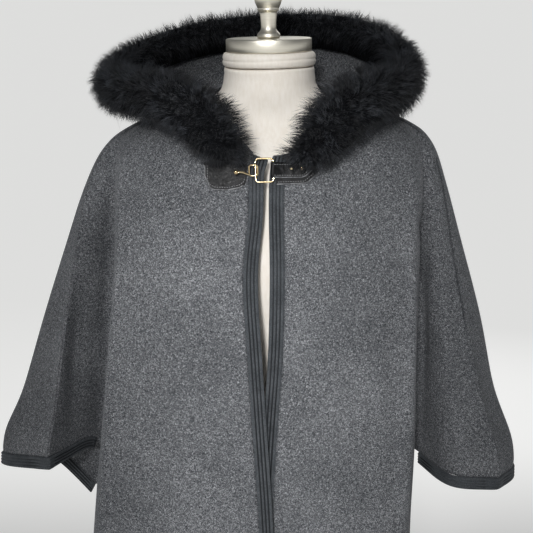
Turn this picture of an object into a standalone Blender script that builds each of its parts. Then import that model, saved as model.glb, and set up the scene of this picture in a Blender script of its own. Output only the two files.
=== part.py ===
"""A hooded poncho with a fur-trimmed hood, worn on a limbless dress form.

The poncho faces -Y, and its left and right are the wearer's. The origin is under the middle of the form's base.
Every cloth wall is worked out from a row of folds at each height of the body, draped over the form's shoulders,
and given its thickness outwards. Bands, hood, fur and tabs are then made from the points they are sewn to.
"""
import math
from collections import namedtuple

import bmesh
import bpy
from mathutils import Vector
from mathutils.bvhtree import BVHTree

MM = 0.001

# Driving sizes, in millimetres
CLOTH = 2.2            # thickness of the wool cloth
SEAM_GAP = 0.35        # between two pieces that are sewn together
EASE = 0.6             # least distance of a cloth's inside from the form
BAND_WIDTH = 17.5      # ribbed band, edge to seam
BAND_RIBS = 4
RIB_HEIGHT = 1.3
BAND_END_GAP = 1.0     # from a band's end to the seam it stops at
FORM_BOTTOM = 800.0    # lower end of the torso
NECK_TOP = 1486.0      # where the jersey's rolled top begins
CAP_BOTTOM = 1505.0
CAP_TOP = 1521.5
CAP_RADIUS = 55.2
POLE_RADIUS = 12.5
BASE_RADIUS = 175.0
BASE_HEIGHT = 12.0
FORM_SIDES = 32
SOLID = 1000.0         # deeper than any solid piece
STANDING_POINT = Vector((0.0, 20.0, 1300.0))   # the fur stands away from here
FRONTWARD, BACKWARD, UPWARD = (0, -1, 0), (0, 1, 0), (0, 0, 1)

# The torso and neck, one row for each level: z, half width, half depth, middle in y
FormRow = namedtuple("FormRow", "z half_width half_depth middle")
FORM = [
    FormRow(FORM_BOTTOM, 150, 96, 4),
    FormRow(808, 166, 108, 4),
    FormRow(860, 172, 113, 4),
    FormRow(940, 162, 108, 3),
    FormRow(1010, 136, 95, 0),
    FormRow(1060, 124, 89, -2),
    FormRow(1120, 130, 94, -5),
    FormRow(1190, 152, 107, -10),
    FormRow(1250, 168, 114, -12),
    FormRow(1310, 178, 107, -8),
    FormRow(1350, 185, 96, -3),
    FormRow(1380, 187, 82, 2),
    FormRow(1398, 181, 70, 4),
    FormRow(1412, 166, 62, 4),
    FormRow(1425, 138, 57, 3),
    FormRow(1435.6, 106, 56, 2),
    FormRow(1445.4, 78, 57, 1),
    FormRow(1455, 62.5, 57.5, 0),
    FormRow(1470, 59.5, 57, 0),
    FormRow(NECK_TOP, 58.5, 57, 0),
]

# The neckline from the front of the neck round to the back: angle, x, y, z
NeckRow = namedtuple("NeckRow", "angle x y z")
NECKLINE = [
    NeckRow(0, 6, -113, 1372),
    NeckRow(30, 36, -95, 1404),
    NeckRow(60, 64, -58, 1437),
    NeckRow(90, 76, -8, 1447),
    NeckRow(120, 70, 34, 1451),
    NeckRow(150, 42, 58, 1454),
    NeckRow(180, 0, 66, 1455),
]

# Front panels. Sleeve rows name the same heights. The edge is the opening edge of the ribbed band, across the
# poncho's own middle, and every other x is the distance from the middle of the form.
FrontRow = namedtuple("FrontRow", "name z edge_z edge_x edge_y fold_x fold_y")
FRONT = {
    "right": [
        FrontRow("shoulder", 1394, 1366, 9.0, -117, 191, -36),
        FrontRow("upper", 1340, 1322, 10.5, -129, 194, -82),
        FrontRow("chest", 1250, 1245, 19.0, -141, 198, -99),
        FrontRow("waist", 1140, 1140, 15.5, -149, 209, -112),
        FrontRow("low", 1030, 1030, 10.5, -154, 223, -121),
        FrontRow("cuff", 940, 935, 6.0, -157, 234, -126),
        FrontRow("hip", 800, 800, 2.0, -160, 248, -132),
        FrontRow("thigh", 670, 670, -2.0, -162, 258, -138),
        FrontRow("hem", 545, 545, -6.0, -164, 266, -143),
    ],
    "left": [
        FrontRow("shoulder", 1394, 1366, -2.0, -117, 187, -36),
        FrontRow("upper", 1340, 1322, -4.0, -128, 188, -76),
        FrontRow("chest", 1250, 1245, -4.0, -139, 183, -96),
        FrontRow("waist", 1140, 1140, -8.0, -144, 179, -111),
        FrontRow("low", 1030, 1030, -17.0, -145, 178, -120),
        FrontRow("cuff", 920, 925, -24.0, -147, 172, -126),
        FrontRow("hip", 800, 800, -26.0, -149, 166, -131),
        FrontRow("thigh", 670, 670, -28.0, -151, 168, -137),
        FrontRow("hem", 545, 545, -30.0, -153, 174, -142),
    ],
}

# Sleeves: recess is the bottom of the fold behind the front panel, seam runs along the top of the arm, tip is the
# outline, rear and dip are the same folds on the back. Below the cuff only the side seam goes on, at recess and dip.
SleeveRow = namedtuple(
    "SleeveRow", "name z recess_x recess_y inner_x inner_y face_x face_y seam_x seam_y tip_x tip_y "
                 "rear_x rear_y dip_x dip_y")
SLEEVE = {
    "right": [
        SleeveRow("shoulder", 1395, 195, -18, 198, -11, 201, -8, 205, -5, 209, 8, 203, 30, 196, 42),
        SleeveRow("upper", 1340, 192, -30, 205, -19, 224, -23, 238, -20, 243, 13, 226, 46, 202, 52),
        SleeveRow("chest", 1250, 192, -20, 216, -6, 247, -24, 258, -29, 280, 25, 250, 64, 207, 56),
        SleeveRow("waist", 1140, 204, -4, 232, 5, 266, -24, 280, -38, 321, 30, 280, 79, 217, 58),
        SleeveRow("low", 1030, 219, 14, 247, 13, 282, -24, 299, -46, 359, 31, 312, 88, 228, 60),
        SleeveRow("cuff", 958, 237, 44, 257, 26, 292, -24, 310, -53, 394, 30, 342, 92, 237, 44),
    ],
    "left": [
        SleeveRow("shoulder", 1395, 190, -18, 193, -12, 196, -9, 200, -5, 204, 8, 198, 30, 191, 42),
        SleeveRow("upper", 1340, 187, -22, 193, -17, 208, -23, 222, -13, 228, 14, 213, 41, 193, 48),
        SleeveRow("chest", 1250, 182, -12, 194, -12, 217, -31, 238, -17, 256, 20, 236, 57, 193, 50),
        SleeveRow("waist", 1140, 181, 0, 196, -3, 226, -37, 259, -28, 287, 21, 260, 70, 196, 50),
        SleeveRow("low", 1030, 182, 18, 200, 11, 236, -41, 283, -36, 309, 21, 281, 76, 200, 46),
        SleeveRow("cuff", 932, 188, 36, 208, 25, 243, -46, 308, -43, 342, 20, 300, 80, 188, 36),
    ],
}
# How far the sleeve's hem hangs from the cuff row at each fold: the back of the right sleeve drops to its underarm
CuffRow = namedtuple("CuffRow", "recess inner face seam tip rear dip")
CUFF_DROP = {
    "right": CuffRow(-96, 6, 11, 11, -16, -27, -96),
    "left": CuffRow(11, 0, -3, -10, -17, -12, 11),
}
# Side seam under the sleeve: z, x, y
SideRow = namedtuple("SideRow", "name z x y")
SIDE = {
    "right": [SideRow("hip", 764, 246, 34), SideRow("thigh", 655, 258, 22), SideRow("hem", 545, 270, 14)],
    "left": [SideRow("hip", 800, 190, 20), SideRow("thigh", 670, 194, 14), SideRow("hem", 545, 200, 10)],
}
# Back: blade is the fold beside the sleeve, spine the middle of the back
BackRow = namedtuple("BackRow", "name spine_z spine_y blade_right_x blade_left_x blade_y")
BACK = [
    BackRow("shoulder", 1410, 80, 188, 184, 52),
    BackRow("upper", 1345, 104, 190, 186, 82),
    BackRow("chest", 1250, 124, 196, 186, 108),
    BackRow("waist", 1140, 138, 204, 186, 126),
    BackRow("low", 1030, 148, 214, 186, 137),
    BackRow("cuff", 925, 155, 222, 186, 144),
    BackRow("hip", 800, 160, 232, 188, 150),
    BackRow("thigh", 670, 164, 244, 192, 154),
    BackRow("hem", 545, 167, 256, 198, 158),
]
# Where each fold leaves the neckline, as an angle round the neck
NECK_ANGLE = {"edge": 14, "breast": 38, "rib": 60, "fold": 76, "recess": 84, "inner": 87, "face": 90, "seam": 93,
              "tip": 98, "rear": 104, "dip": 110, "blade": 122, "shoulder_blade": 150, "spine": 180}
FRONT_FOLDS = ["edge", "breast", "rib", "fold", "recess", "inner", "face", "seam"]
BACK_FOLDS = ["seam", "tip", "rear", "dip", "blade", "shoulder_blade", "spine"]
# Number of cells between one fold and the next, and between one height and the next
FRONT_CELLS = [3, 3, 3, 4, 3, 3, 3]
BACK_CELLS = [4, 4, 3, 3, 3, 2]
HEIGHT_CELLS = [4, 2, 3, 3, 3, 3, 2, 2, 2]
CUFF_ROW = sum(HEIGHT_CELLS[:6])    # grid row of the sleeve hem

# The fur roll's middle line, one row for each stretch: x, y, z, half width and half height of the roll
FurRow = namedtuple("FurRow", "x y z half_width half_height")
FUR = [
    FurRow(-27, -132, 1387, 7, 5),
    FurRow(-46, -139, 1392, 26, 20),
    FurRow(-70, -131, 1418, 38, 25),
    FurRow(-95, -112, 1441, 40, 28),
    FurRow(-140, -66, 1456, 40, 31),
    FurRow(-184, -22, 1459, 38, 33),
    FurRow(-205, 28, 1464, 33, 33),
    FurRow(-197, 86, 1484, 27, 29),
    FurRow(-163, 124, 1502, 25, 27),
    FurRow(-116, 147, 1516, 25, 27),
    FurRow(-60, 161, 1525, 25, 27),
    FurRow(0, 166, 1529, 25, 27),
    FurRow(58, 161, 1529, 26, 27),
    FurRow(108, 145, 1524, 27, 28),
    FurRow(152, 116, 1509, 28, 29),
    FurRow(176, 74, 1490, 29, 31),
    FurRow(177, 26, 1470, 32, 33),
    FurRow(158, -24, 1456, 38, 33),
    FurRow(116, -68, 1444, 42, 31),
    FurRow(80, -108, 1425, 41, 28),
    FurRow(58, -131, 1402, 36, 25),
    FurRow(36, -138, 1385, 25, 19),
    FurRow(16, -131, 1386, 7, 5),
]
FUR_SIDES = 10
FUR_STATIONS = 40

# Clasp: x and heights are measured in the plane of the chest, from its middle point
CLASP_Y, CLASP_Z = -118.0, 1369.5
CLASP_LEAN = math.radians(15)
LEATHER = 1.8
WIRE_RADIUS = 1.3
RING_X, RING_WIDTH, RING_HEIGHT, RING_CORNER = -8.4, 21.5, 28.5, 3.8
EYE_WIDTH, EYE_HEIGHT = 10.5, 14.0
EYE_INSIDE = 2.6         # how far the eye reaches inside the ring's bar
HOOK_ROOM = 1.0          # room for the eye between the ring and the bands
STRAP_RUN = 16.0         # along which the strap comes up from the tab to the ring
SIDE_LOOK = 3.4          # how far to either side the cloth under a tab is felt
BALL_X, BALL_RADIUS = -42.5, 3.3
# The tabs' low and high edges at each x
TAB_RIGHT_REACH = [(-81.5, -6, 12), (-80.5, -13, 13), (-77, -19, 13), (-70, -22.5, 13), (-54, -23.5, 13),
                   (-38, -20.5, 11), (-31, -16.5, 8), (-28, -10, 5)]
TAB_LEFT_REACH = [(4, -17, 10), (8, -17.5, 10), (40, -16.5, 9), (46, -14, 8), (56, -4, -1)]
STRAP_REACH = [(-4, -9.5, 9.5), (40, -9.5, 9.5), (50, 0, 1)]
RIVET_X, RIVET_UP = (22.5, 38.0), 2.0
RIVET_OUTLINE = [(2.0, 0.0), (2.1, 0.3), (1.5, 0.9), (0.6, 1.1)]    # radius, height
# The hook's neck from its eye to its ball: x from the eye's outer bar, up, out from the middle of the ring
HOOK_NECK = [(1.2, -5.2, -1.4), (-2.6, -4.2, 1.2), (-7.5, -2.4, 3.2), (-12.6, -2.0, 3.6)]

# The hood worn down, one row for each section round the neck, from the side to the middle of the back: angle round
# the neck, share of the fur's length that it meets, lean of the rim out from the neck, depth of the pouch
HoodRow = namedtuple("HoodRow", "angle fur_share lean depth")
POUCH_DEPTH = 150.0
HOOD = [
    HoodRow(72, 0.180, -1.8, 0),
    HoodRow(90, 0.235, -1.5, 4),
    HoodRow(110, 0.290, -1.0, 14),
    HoodRow(130, 0.345, -0.1, 52),
    HoodRow(150, 0.400, 0.3, 104),
    HoodRow(166, 0.450, 0.4, 138),
    HoodRow(180, 0.500, 0.4, POUCH_DEPTH),
]
HOOD_CELLS = [2, 2, 2, 2, 2, 2]
# Section of the hood from the neckline out to the fur. Where there is no pouch the share of the way and the rise
# over a straight line; in the pouch the share of the way and the height over its bottom
FoldRow = namedtuple("FoldRow", "flat_along rise pouch_along height far")
HOOD_SECTION = [
    FoldRow(0.00, 0, 0.00, 1.00, False),
    FoldRow(0.16, 7, 0.14, 1.04, False),
    FoldRow(0.36, 9, 0.34, 0.62, False),
    FoldRow(0.56, 8, 0.52, 0.14, False),
    FoldRow(0.74, 6, 0.86, 0.00, True),
    FoldRow(0.86, 4, 1.16, 0.34, True),
    FoldRow(0.94, 2, 1.20, 0.74, True),
    FoldRow(1.00, 0, 1.00, 1.00, True),
]
SECTION_CELLS = [1, 2, 2, 2, 2, 2, 2]


def clear_scene():
    for obj in list(bpy.data.objects):
        bpy.data.objects.remove(obj, do_unlink=True)


def finish(name, colour, roughness, metallic):
    material = bpy.data.materials.new(name)
    material.use_nodes = True
    shader = material.node_tree.nodes["Principled BSDF"]
    shader.inputs["Base Color"].default_value = (*colour, 1.0)
    shader.inputs["Roughness"].default_value = roughness
    shader.inputs["Metallic"].default_value = metallic
    return material


def add_piece(name, points, faces, material, smooth=True):
    """One closed piece from points in millimetres, with its faces turned out."""
    mesh = bpy.data.meshes.new(name)
    mesh.from_pydata([Vector(p) * MM for p in points], [], faces)
    shape = bmesh.new()
    shape.from_mesh(mesh)
    bmesh.ops.recalc_face_normals(shape, faces=shape.faces)
    if shape.calc_volume(signed=True) < 0:
        bmesh.ops.reverse_faces(shape, faces=shape.faces)
    bmesh.ops.triangulate(shape, faces=shape.faces)
    shape.to_mesh(mesh)
    shape.free()
    if smooth:
        mesh.shade_smooth()
        mesh.set_sharp_from_angle(angle=math.radians(40))
    mesh.materials.append(material)
    obj = bpy.data.objects.new(name, mesh)
    bpy.context.collection.objects.link(obj)
    return obj


def surface_tree(obj):
    """The piece's faces, for resting another piece on it, in millimetres."""
    mesh = obj.data
    points = [v.co / MM for v in mesh.vertices]
    return BVHTree.FromPolygons(points, [tuple(p.vertices) for p in mesh.polygons])


def rest_on(point, trees, gap, depth):
    """The point, moved out of each piece until the gap is kept. A piece is no deeper than depth where it is met."""
    for _ in range(2):
        for tree in trees:
            near, normal, _, distance = tree.find_nearest(point)
            inside = (point - near).dot(normal) < 0 and distance < depth
            if inside or distance < gap:
                point = near + normal * gap
    return point


def depth_under(point, direction, trees):
    """How far the point lies under the last surface in a direction, or zero above them all."""
    reach = 60.0
    depth = 0.0
    for tree in trees:
        hit, _, _, distance = tree.ray_cast(point, direction, reach)
        while hit:
            depth = max(depth, (hit - point).length)
            hit, _, _, distance = tree.ray_cast(hit + direction * 0.05, direction, reach - depth)
    return depth


def through(points, cells):
    """A smooth line through the points, with a number of cells between one point and the next."""
    points = [Vector(p) for p in points]
    ends = [points[0] * 2 - points[1]] + points + [points[-1] * 2 - points[-2]]
    line = []
    for i, count in enumerate(cells):
        p0, p1, p2, p3 = ends[i:i + 4]
        t1 = max((p1 - p0).length, 1e-6) ** 0.5
        t2 = t1 + max((p2 - p1).length, 1e-6) ** 0.5
        t3 = t2 + max((p3 - p2).length, 1e-6) ** 0.5
        last = i == len(cells) - 1
        for step in range(count + last):
            t = t1 + (t2 - t1) * step / count
            a1 = p0 * (t1 - t) / t1 + p1 * t / t1
            a2 = p1 * (t2 - t) / (t2 - t1) + p2 * (t - t1) / (t2 - t1)
            a3 = p2 * (t3 - t) / (t3 - t2) + p3 * (t - t2) / (t3 - t2)
            b1 = a1 * (t2 - t) / t2 + a2 * t / t2
            b2 = a2 * (t3 - t) / (t3 - t1) + a3 * (t - t1) / (t3 - t1)
            line.append(b1 * (t2 - t) / (t2 - t1) + b2 * (t - t1) / (t2 - t1))
    return line


def mix(a, b, share):
    return a + (b - a) * share


def neckline(angle, sign):
    """The point of the neckline at an angle from the front, on the side of the sign."""
    span = 30.0
    points = [(sign * row.x, row.y, row.z) for row in NECKLINE]
    where = min(angle / span, len(NECKLINE) - 1 - 1e-6)
    first = int(where)
    steps = 24
    line = through(points, [steps] * (len(points) - 1))
    place = (where - first) * steps
    at = first * steps + int(place)
    return line[at].lerp(line[at + 1], place - int(place))


# ---------------------------------------------------------------- dress form

def form_section(row, sides):
    """One level of the torso: an oval, squarer than an ellipse."""
    squareness = 2.25
    ring = []
    for i in range(sides):
        turn = 2 * math.pi * i / sides
        cos, sin = math.cos(turn), math.sin(turn)
        x = math.copysign(abs(cos) ** (2 / squareness), cos) * row.half_width
        y = math.copysign(abs(sin) ** (2 / squareness), sin) * row.half_depth
        ring.append(Vector((x, y + row.middle, row.z)))
    return ring


def stack(rings):
    """Faces and points of a body closed over a stack of rings of equal length."""
    sides = len(rings[0])
    points = [p for ring in rings for p in ring]
    faces = [tuple(reversed(range(sides)))]
    for level in range(len(rings) - 1):
        low, high = level * sides, (level + 1) * sides
        for i in range(sides):
            j = (i + 1) % sides
            faces.append((low + i, low + j, high + j, high + i))
    top = (len(rings) - 1) * sides
    faces.append(tuple(range(top, top + sides)))
    return points, faces


def circle(radius, z, sides):
    turns = [2 * math.pi * i / sides for i in range(sides)]
    return [Vector((radius * math.cos(turn), radius * math.sin(turn), z)) for turn in turns]


def turned(name, profile, material, sides=28):
    """A turned piece from its profile of radius and height, low to high, closed at both ends."""
    rings = []
    for radius, z in profile:
        rings.append(circle(radius, z, sides))
    return add_piece(name, *stack(rings), material)


def turned_ring(name, outline, material, sides=28):
    """A turned ring from a closed outline of radius and height."""
    count = len(outline)
    points = []
    for i in range(sides):
        turn = 2 * math.pi * i / sides
        points += [Vector((r * math.cos(turn), r * math.sin(turn), z)) for r, z in outline]
    faces = []
    for i in range(sides):
        here, there = i * count, (i + 1) % sides * count
        for j in range(count):
            k = (j + 1) % count
            faces.append((here + j, there + j, there + k, here + k))
    return add_piece(name, points, faces, material)


def build_form(jersey, nickel, steel):
    core_radius = 51.0
    rings = [form_section(row, FORM_SIDES) for row in FORM]
    for z in (NECK_TOP + 0.01, CAP_BOTTOM - SEAM_GAP):
        rings.append(circle(core_radius, z, FORM_SIDES))
    body = add_piece("form_body", *stack(rings), jersey)
    inner = core_radius + SEAM_GAP
    low, high = NECK_TOP + SEAM_GAP, CAP_BOTTOM - SEAM_GAP
    roll = [(inner, low), (58.0, low), (60.2, low + 3), (61.0, low + 7), (60.8, high - 6), (59.4, high - 2),
            (57.0, high), (inner, high)]
    turned_ring("form_neck_band", roll, jersey)
    turned("form_cap", [(CAP_RADIUS - 0.8, CAP_BOTTOM), (CAP_RADIUS, CAP_BOTTOM + 0.8),
                        (CAP_RADIUS, CAP_TOP - 1.2), (CAP_RADIUS - 1.2, CAP_TOP)], nickel, sides=36)
    seat = CAP_TOP + SEAM_GAP
    turned("form_finial", [
        (13.6, seat), (14.8, seat + 1.5), (14.9, seat + 4.5), (13.8, seat + 7.0), (11.4, seat + 9.5),
        (9.8, seat + 12.5), (9.9, seat + 18), (10.6, seat + 26), (11.3, seat + 33), (13.6, seat + 35.5),
        (15.2, seat + 40), (17.6, seat + 46), (18.6, seat + 52), (18.2, seat + 59), (15.6, seat + 66),
        (10.6, seat + 72), (4.0, seat + 75)], nickel, sides=18)
    pole_foot = BASE_HEIGHT + 32.0
    turned("form_pole", [(POLE_RADIUS, pole_foot + SEAM_GAP), (POLE_RADIUS, FORM_BOTTOM - SEAM_GAP)], steel, sides=20)
    turned("form_base", [
        (BASE_RADIUS - 1.5, 0), (BASE_RADIUS, 1.5), (BASE_RADIUS, BASE_HEIGHT - 4), (BASE_RADIUS - 4, BASE_HEIGHT),
        (36, BASE_HEIGHT + 2), (25, BASE_HEIGHT + 6), (21, BASE_HEIGHT + 14), (19.5, pole_foot - 2),
        (18, pole_foot)], steel, sides=36)
    return body


# ---------------------------------------------------------------- cloth walls

class Wall:
    """A grid of points on the inside of a cloth wall. A cell that is left out is an opening or a step in the edge."""

    def __init__(self, grid, sample, outward, cells=None):
        self.grid = grid
        self.rows, self.columns = len(grid), len(grid[0])
        self.cells = cells or {(i, j) for i in range(self.rows - 1) for j in range(self.columns - 1)}
        self.normals = self.find_normals(sample, Vector(outward))

    def corners(self, i, j):
        return [(i, j), (i, j + 1), (i + 1, j + 1), (i + 1, j)]

    def find_normals(self, sample, outward):
        normals = {}
        for i, j in sorted(self.cells):
            a, b, c, d = [self.grid[r][s] for r, s in self.corners(i, j)]
            normal = (c - a).cross(d - b)
            for corner in self.corners(i, j):
                normals[corner] = normals.get(corner, Vector((0, 0, 0))) + normal
        flip = -1 if normals[sample].dot(outward) < 0 else 1
        return {key: (n * flip).normalized() for key, n in normals.items()}

    def build(self, name, material, thickness=CLOTH):
        numbers, points = {}, []
        for key in sorted(self.normals):
            r, s = key
            numbers[key] = len(points)
            points += [self.grid[r][s], self.grid[r][s] + self.normals[key] * thickness]
        faces, edges = [], {}
        for i, j in sorted(self.cells):
            loop = self.corners(i, j)
            faces.append(tuple(numbers[k] for k in reversed(loop)))
            faces.append(tuple(numbers[k] + 1 for k in loop))
            for start, end in zip(loop, loop[1:] + loop[:1]):
                if (end, start) in edges:
                    del edges[(end, start)]
                else:
                    edges[(start, end)] = True
        for start, end in edges:
            a, b = numbers[start], numbers[end]
            faces.append((a, b, b + 1, a + 1))
        return add_piece(name, points, faces, material)


def fold_table(side):
    """For each fold of one side, its points from the neckline down."""
    sign = -1 if side == "right" else 1
    lines = {name: [neckline(angle, sign)] for name, angle in NECK_ANGLE.items()}
    sleeve = {row.name: row for row in SLEEVE[side]}
    seam_line = {row.name: row for row in SIDE[side]}
    back = {row.name: row for row in BACK}
    for row in FRONT[side]:
        edge = Vector((sign * (row.edge_x + BAND_WIDTH + SEAM_GAP), row.edge_y, row.edge_z))
        fold = Vector((sign * row.fold_x, row.fold_y, row.z))
        lines["edge"].append(edge)
        for name, share, bulge in (("breast", 0.36, 0.10), ("rib", 0.74, 0.42)):
            point = edge.lerp(fold, share)
            point.y = mix(edge.y, fold.y, bulge)
            lines[name].append(point)
        lines["fold"].append(fold)
        if row.name in sleeve:
            levels = sleeve[row.name]
            for name in ("recess", "inner", "face", "seam", "tip", "rear", "dip"):
                drop = getattr(CUFF_DROP[side], name) if row.name == "cuff" else 0
                x, y = getattr(levels, name + "_x"), getattr(levels, name + "_y")
                lines[name].append(Vector((sign * x, y, levels.z + drop)))
        else:
            level = seam_line[row.name]
            for name in ("recess", "inner", "face", "seam", "tip", "rear", "dip"):
                lines[name].append(Vector((sign * level.x, level.y, level.z)))
        level = back[row.name]
        blade_x = level.blade_right_x if side == "right" else level.blade_left_x
        spine = Vector((0, level.spine_y, level.spine_z))
        blade = Vector((sign * blade_x, level.blade_y, mix(row.z, level.spine_z, 0.3)))
        middle = blade.lerp(spine, 0.52)
        middle.y = mix(blade.y, spine.y, 0.80)
        lines["blade"].append(blade)
        lines["shoulder_blade"].append(middle)
        lines["spine"].append(spine)
    return lines


def drape(lines, folds, cells, form):
    """The grid of a panel: down each fold first, then across the folds, kept clear of the form."""
    down = [through(lines[name], HEIGHT_CELLS) for name in folds]
    for name in ("recess", "dip"):
        if name in folds:
            under_arm = through(lines[name][6:], HEIGHT_CELLS[6:])
            down[folds.index(name)][CUFF_ROW:] = under_arm
    grid = []
    for level in range(len(down[0])):
        across = through([line[level] for line in down], cells)
        grid.append([rest_on(point, [form], EASE, SOLID) for point in across])
    return grid


def keep_body(rows, columns, seam_column, beyond):
    """All cells of a panel but those beyond its side seam under the sleeve hem."""
    cells = set()
    for i in range(rows - 1):
        for j in range(columns - 1):
            if i < CUFF_ROW or not beyond(j, seam_column):
                cells.add((i, j))
    return cells


def open_underarm(grid, seam_column, beyond, turn):
    """Keeps a panel's sleeve on its own side of the underarm, by the hem. The turn is -1 at the front."""
    rows, columns, slope = 5, 3, 1.2
    for level in range(CUFF_ROW - rows, CUFF_ROW + 1):
        seam_y = grid[level][seam_column].y
        for step in range(1, columns + 1):
            point = grid[level][seam_column + beyond * step]
            limit = seam_y + turn * slope * step
            point.y = min(point.y, limit) if turn < 0 else max(point.y, limit)


def part_from(grid, column, gap, towards):
    """Moves one column of the grid back by a seam's gap."""
    for row in grid:
        step = (row[column + towards] - row[column])
        if step.length > gap:
            row[column] = row[column] + step.normalized() * gap


def build_fronts(form_tree, cloth):
    walls = {}
    for side in ("right", "left"):
        grid = drape(fold_table(side), FRONT_FOLDS, FRONT_CELLS, form_tree)
        recess = sum(FRONT_CELLS[:4])
        open_underarm(grid, recess, 1, -1)
        part_from(grid, -1, SEAM_GAP / 2, -1)
        for level in range(CUFF_ROW, len(grid)):
            grid[level][recess].y -= SEAM_GAP
        cells = keep_body(len(grid), len(grid[0]), recess, lambda j, seam: j >= seam)
        walls[side] = Wall(grid, (CUFF_ROW, 1), FRONTWARD, cells)
        walls[side].build("poncho_front_" + side, cloth)
    return walls


def build_back(form_tree, cloth):
    halves = {}
    dip = sum(BACK_CELLS[:3])
    for side in ("right", "left"):
        halves[side] = drape(fold_table(side), BACK_FOLDS, BACK_CELLS, form_tree)
        open_underarm(halves[side], dip, -1, 1)
        part_from(halves[side], 0, SEAM_GAP / 2, 1)
    grid = [right + left[-2::-1] for right, left in zip(halves["right"], halves["left"])]
    columns = len(grid[0])
    for level in range(CUFF_ROW, len(grid)):
        grid[level][dip].y += SEAM_GAP
        grid[level][columns - 1 - dip].y += SEAM_GAP
    cells = keep_body(len(grid), columns, dip, lambda j, seam: j < seam or j >= columns - 1 - seam)
    wall = Wall(grid, (CUFF_ROW, columns // 2), BACKWARD, cells)
    wall.build("poncho_back", cloth)
    return wall


# ---------------------------------------------------------------- ribbed bands

def band_profile():
    """Across the band: distance from the seam and height of the ribs over the cloth."""
    pitch = BAND_WIDTH / BAND_RIBS
    profile = [(0.0, 0.0)]
    for rib in range(BAND_RIBS):
        start = rib * pitch
        profile += [(start + pitch * 0.5, RIB_HEIGHT), (start + pitch, 0.0)]
    return profile


def build_band(name, edge, material):
    """A ribbed band on an edge, given as points, outward normals and directions away from the cloth."""
    edge[0][0] = edge[0][0].lerp(edge[1][0], BAND_END_GAP / (edge[1][0] - edge[0][0]).length)
    edge[-1][0] = edge[-1][0].lerp(edge[-2][0], BAND_END_GAP / (edge[-2][0] - edge[-1][0]).length)
    profile = band_profile()
    count = len(profile) + 2
    points, faces = [], []
    for point, normal, away in edge:
        start = point + away * SEAM_GAP
        points += [start, start + away * BAND_WIDTH]
        points += [start + away * s + normal * (CLOTH + h) for s, h in reversed(profile)]
    for i in range(len(edge) - 1):
        here, there = i * count, (i + 1) * count
        for j in range(count):
            k = (j + 1) % count
            faces.append((here + j, there + j, there + k, here + k))
    last = (len(edge) - 1) * count
    faces.append(tuple(range(count)))
    faces.append(tuple(last + j for j in reversed(range(count))))
    return add_piece(name, points, faces, material, smooth=False)


def edge_of(wall, keys, step):
    """The wall's points at the keys, with their normals and the direction off the edge, given by a grid step."""
    edge = []
    for r, s in keys:
        point = wall.grid[r][s]
        back = wall.grid[r - step[0]][s - step[1]]
        normal = wall.normals[(r, s)]
        away = point - back
        away = (away - normal * away.dot(normal)).normalized()
        edge.append([point, normal, away])
    return square_to_edge(edge)


def square_to_edge(edge):
    """Turns each direction square to the run of the edge and smooths it along the edge."""
    squared = []
    for i, (point, normal, away) in enumerate(edge):
        before, after = edge[max(i - 1, 0)][0], edge[min(i + 1, len(edge) - 1)][0]
        run = (after - before).normalized()
        side = away - run * away.dot(run) * 0.85
        side = (side - normal * side.dot(normal)).normalized()
        squared.append([point, normal, side])
    return squared


def smooth_turns(edge):
    """Evens out the directions along a band, so that it turns a sharp fold without crossing itself."""
    even = []
    for i, (point, normal, away) in enumerate(edge):
        _, normal_before, away_before = edge[max(i - 1, 0)]
        _, normal_after, away_after = edge[min(i + 1, len(edge) - 1)]
        even.append([point, (normal_before + normal * 2 + normal_after).normalized(),
                     (away_before + away * 2 + away_after).normalized()])
    return even


def build_bands(fronts, back, rib):
    rows = len(back.grid)
    recess, inner = sum(FRONT_CELLS[:4]), sum(FRONT_CELLS[:5])
    for side, wall in fronts.items():
        edge = edge_of(wall, [(r, 0) for r in range(rows)], (0, -1))
        point, normal, away = edge[-1]
        below = (point - edge[-2][0]).normalized() * (BAND_WIDTH + SEAM_GAP)
        edge.append([point + below, normal, away])
        build_band("band_front_" + side, edge, rib)
        hem = edge_of(wall, [(rows - 1, s) for s in range(recess + 1)], (1, 0))
        build_band("band_hem_front_" + side, hem, rib)
        last = wall.columns - 1
        cuff = edge_of(wall, [(CUFF_ROW, s) for s in range(inner, last + 1)], (1, 0))
        rear = sleeve_back_edge(back, side)
        build_band("band_sleeve_" + side, smooth_turns(smooth_turns(cuff + rear)), rib)
    dip = sum(BACK_CELLS[:3])
    hem = edge_of(back, [(rows - 1, s) for s in range(dip, back.columns - dip)], (1, 0))
    build_band("band_hem_back", hem, rib)


def sleeve_back_edge(back, side):
    """The back's part of a sleeve hem, from the seam along the arm round to the underarm."""
    dip = sum(BACK_CELLS[:3])
    columns = range(1, dip) if side == "right" else range(back.columns - 2, back.columns - 1 - dip, -1)
    return edge_of(back, [(CUFF_ROW, s) for s in columns], (1, 0))


# ---------------------------------------------------------------- fur and hood

def fur_line():
    """The fur roll's middle line: point, half width and half height at each station."""
    rows = len(FUR)
    fine = 8
    line = through([(r.x, r.y, r.z) for r in FUR], [fine] * (rows - 1))
    sizes = through([(r.half_width, r.half_height, 0) for r in FUR], [fine] * (rows - 1))
    run = [0.0]
    for a, b in zip(line, line[1:]):
        run.append(run[-1] + (b - a).length)
    stations = []
    at = 0
    for i in range(FUR_STATIONS + 1):
        want = run[-1] * i / FUR_STATIONS
        while at < len(run) - 2 and run[at + 1] < want:
            at += 1
        share = (want - run[at]) / (run[at + 1] - run[at])
        stations.append((line[at].lerp(line[at + 1], share), sizes[at].lerp(sizes[at + 1], share)))
    return stations


def fur_frame(stations, i):
    """Across and out directions of the roll at a station."""
    before, after = stations[max(i - 1, 0)][0], stations[min(i + 1, len(stations) - 1)][0]
    run = (after - before).normalized()
    out = stations[i][0] - STANDING_POINT
    out = (out - run * out.dot(run)).normalized()
    return run.cross(out), out


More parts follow.
